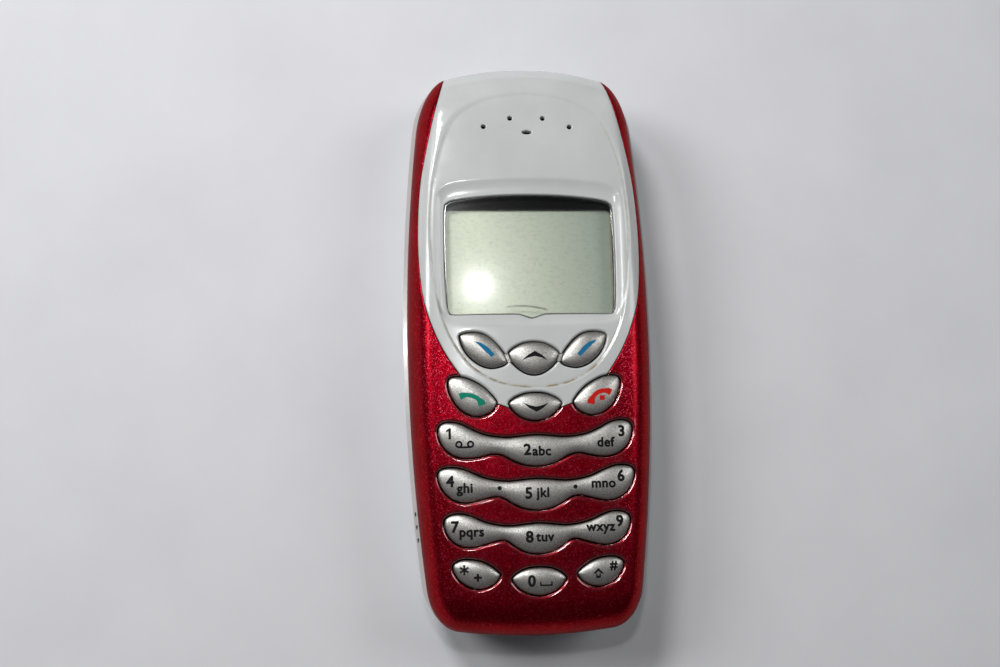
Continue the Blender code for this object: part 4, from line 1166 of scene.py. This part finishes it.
def rear_cover():
    """The back: a tub with a shallow dish around its button, sound slots and the connector's gap."""
    outline, hole = REAR.ring(1), button_oval(0.3)
    rim = PARTING - 0.3

    def under(x, y):
        p = np.stack([x, y], 1)
        dish = DISH[0] * ease(1 - distance(hole, p, 3.0) / DISH[1])
        return np.minimum(np.maximum(rear_skin(x, y), dish), rim - 0.6)

    def keep(p):
        return inside(outline, p) & ~inside(hole, p)

    rings = [REAR.ring(share) for share in ROLL_SHARES] + ladder(hole, (0.3, 0.7, 1.2, 1.7, DISH[1]))
    piece = slab("rear_cover_skin", plan([outline, hole, *rings], keep, grid(2.5)),
                 lambda x, y: np.minimum(rear_inner(x, y), rim), under, PALE, None, own_normals=False)
    cutters = [end_cutter("gap", box(-12.5, 12.5, 5.4, 14, 1.0), -53),
               end_cutter("socket", circle(0, SOCKET_Z, SOCKET_R, 32), -54)]
    for i, y in enumerate(SOUND_HOLES):
        slot = oval(REAR_STEP / 2 - REAR.reach(y), y, 0.17, 0.46, 20)
        ends = [np.column_stack([slot, np.full(20, z)]) for z in (rim - 1.2, rim + 1)]
        cutters.append(loft(f"sound_{i}", ends, PALE))
    carve(piece, cutters)
    piece.data.set_sharp_from_angle(angle=math.radians(40))
    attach(piece, "rear_cover")
    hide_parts("rear_cover")


def release_button():
    """The oval button with grip ridges, and the wider flange that holds it in the back cover."""
    face, flange = button_oval(0), button_oval(0.7)
    face_z, flange_z, back_z = 0.38, 1.95, 2.7

    def under(x, y):
        depth = signed(face, np.stack([x, y], 1), 2.0)
        wave = 0.5 + 0.5 * np.cos((x - BUTTON[0]) * 2 * math.pi / RIDGE[1])
        groove = RIDGE[0] * (1 - wave * ease((depth - 0.35) / 0.4))
        return np.where(depth > -0.01, face_z + round_over(depth, 0.25) + groove, flange_z)

    loops = [flange, *ladder(face, (0.03, 0, -0.06, -0.25, -0.4, -0.75))]
    fill = grid(0.15)
    shape = plan(loops, lambda p: inside(flange, p), fill[np.abs(fill[:, 1] - BUTTON[1]) < 3])
    piece = slab("release_button_face", shape, lambda x, y: np.full(len(x), back_z), under, RUBBER,
                 "release_button", own_normals=False)
    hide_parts("release_button")


def power_key():
    """The rubber key in the top end, which follows the skin's slope and has eased edges."""
    x, z = power_stadium(0).T
    sections = [np.stack([x, np.full(len(x), POWER_FOOT), z], 1)]
    for inset, back in ((0, 0.4), (0.03, 0.22), (0.12, 0.09), (0.28, 0.02), (0.5, 0.0), (0.9, 0.0)):
        x, z = power_stadium(-inset).T
        sections.append(np.stack([x, top_end_at(x, z) - POWER_SUNK - back, z], 1))
    piece = loft("power_key_cap", sections[::-1], PALE_RUBBER, "power_key")
    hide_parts("power_key")


# ---------------------------------------------------------------- display surround
def display_film():
    """The thin edge of the reflector film that shows beside the display, just above the glass."""
    strip = box(16.33, 16.6, 3.0, 25.0)
    shape = plan([strip], lambda p: inside(strip, p))
    bottom = np.full(len(shape[0]), 17.42)
    stacked("display_film", shape, bottom + 0.1, bottom, FILM, "phone")


# What the CAD nodes that are shown as they are look like: all others are steel
CAD_LOOKS = {
    BEZEL: "display_frame", LCD: "lcd_glass", LAMINATE: "circuit_board", CARD: "light_guide sim_card",
    RUBBER: "lcd_connector keypad_web earpiece_gasket",
    BLACK: "chassis battery battery_connector bottom_connector antenna_carrier buzzer "
           "power_switch sim_reader",
    GILT: "antenna charger_pin headset_contact_l headset_contact_r vibration_weight",
}


def dress_cad_nodes():
    looks = {name: look for look, names in CAD_LOOKS.items() for name in names.split()}
    for name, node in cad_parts.items():
        node.data.materials.clear()
        node.data.materials.append(looks.get(name, STEEL))


# ---------------------------------------------------------------- camera, floor and light
# Where the camera is, in millimetres, and the directions of its own x, y and z
CAMERA_AT = (-25.27, -41.39, 248.39)
CAMERA_RIGHT = (0.99662, -0.02414, 0.07846)
CAMERA_UP = (0.00968, 0.98368, 0.17964)
CAMERA_BACK = (-0.08152, -0.17828, 0.98060)


def camera():
    """A lens of 43 mm, about a quarter of a metre above the phone."""
    data = bpy.data.cameras.new("camera")
    data.lens, data.sensor_width = 43.2, 36.0
    data.clip_start, data.clip_end = 0.01, 10.0
    made = new_object("camera", data)
    turn = Matrix((CAMERA_RIGHT, CAMERA_UP, CAMERA_BACK)).transposed()
    made.matrix_world = Matrix.Translation(Vector(CAMERA_AT) * MM) @ turn.to_4x4()
    bpy.context.scene.camera = made


def area_light(name, at, size, energy):
    """A round light, in metres and watts, that faces the phone."""
    data = bpy.data.lights.new(name, "AREA")
    data.shape, data.size, data.energy = "DISK", size, energy
    made = new_object(name, data)
    made.location = at
    made.rotation_mode = "QUATERNION"
    made.rotation_quaternion = (Vector((0, 0, 0.015)) - Vector(at)).to_track_quat("-Z", "Y")


def floor():
    """A pale matt floor, a hair below the phone's back."""
    mesh = bpy.data.meshes.new("floor")
    mesh.from_pydata([(x, y, -0.00005) for x, y in box(-3, 3, -3, 3)], [], [(0, 1, 2, 3)])
    look = Look("pale_floor", (0.8, 0.8, 0.83), 0.9)
    tone = look.mix(look.band(look.noise(30.0, 4), 0.3, 0.7), (0.72, 0.72, 0.75), (0.77, 0.77, 0.80))
    look.set("Base Color", tone)
    look.bump(look.noise(0.8, 4), 0.15, 0.1)
    mesh.materials.append(look.material)
    new_object("floor", mesh)


def studio():
    """A dim even background and four lights."""
    world = bpy.data.worlds.new("studio")
    world.use_nodes = True
    background = world.node_tree.nodes["Background"]
    background.inputs["Color"].default_value = (0.9, 0.93, 1.0, 1)
    background.inputs["Strength"].default_value = 0.04
    bpy.context.scene.world = world
    bpy.context.scene.view_settings.view_transform = "Standard"
    area_light("flash", (-0.035, 0.053, 0.324), 0.023, 0.11)
    area_light("main_light", (-0.17, 0.25, 0.38), 0.12, 0.94)
    area_light("side_light", (-0.45, 0.2, 0.4), 0.25, 1.45)
    area_light("fill_light", (0.42, 0.15, 0.45), 0.3, 0.75)


camera()
floor()
studio()
dress_cad_nodes()
front_cover()
face_plate()
window()
display_film()
bar_legends(bar_keys())
solo_legends(solo_keys())
bridges()
rear_cover()
release_button()
power_key()
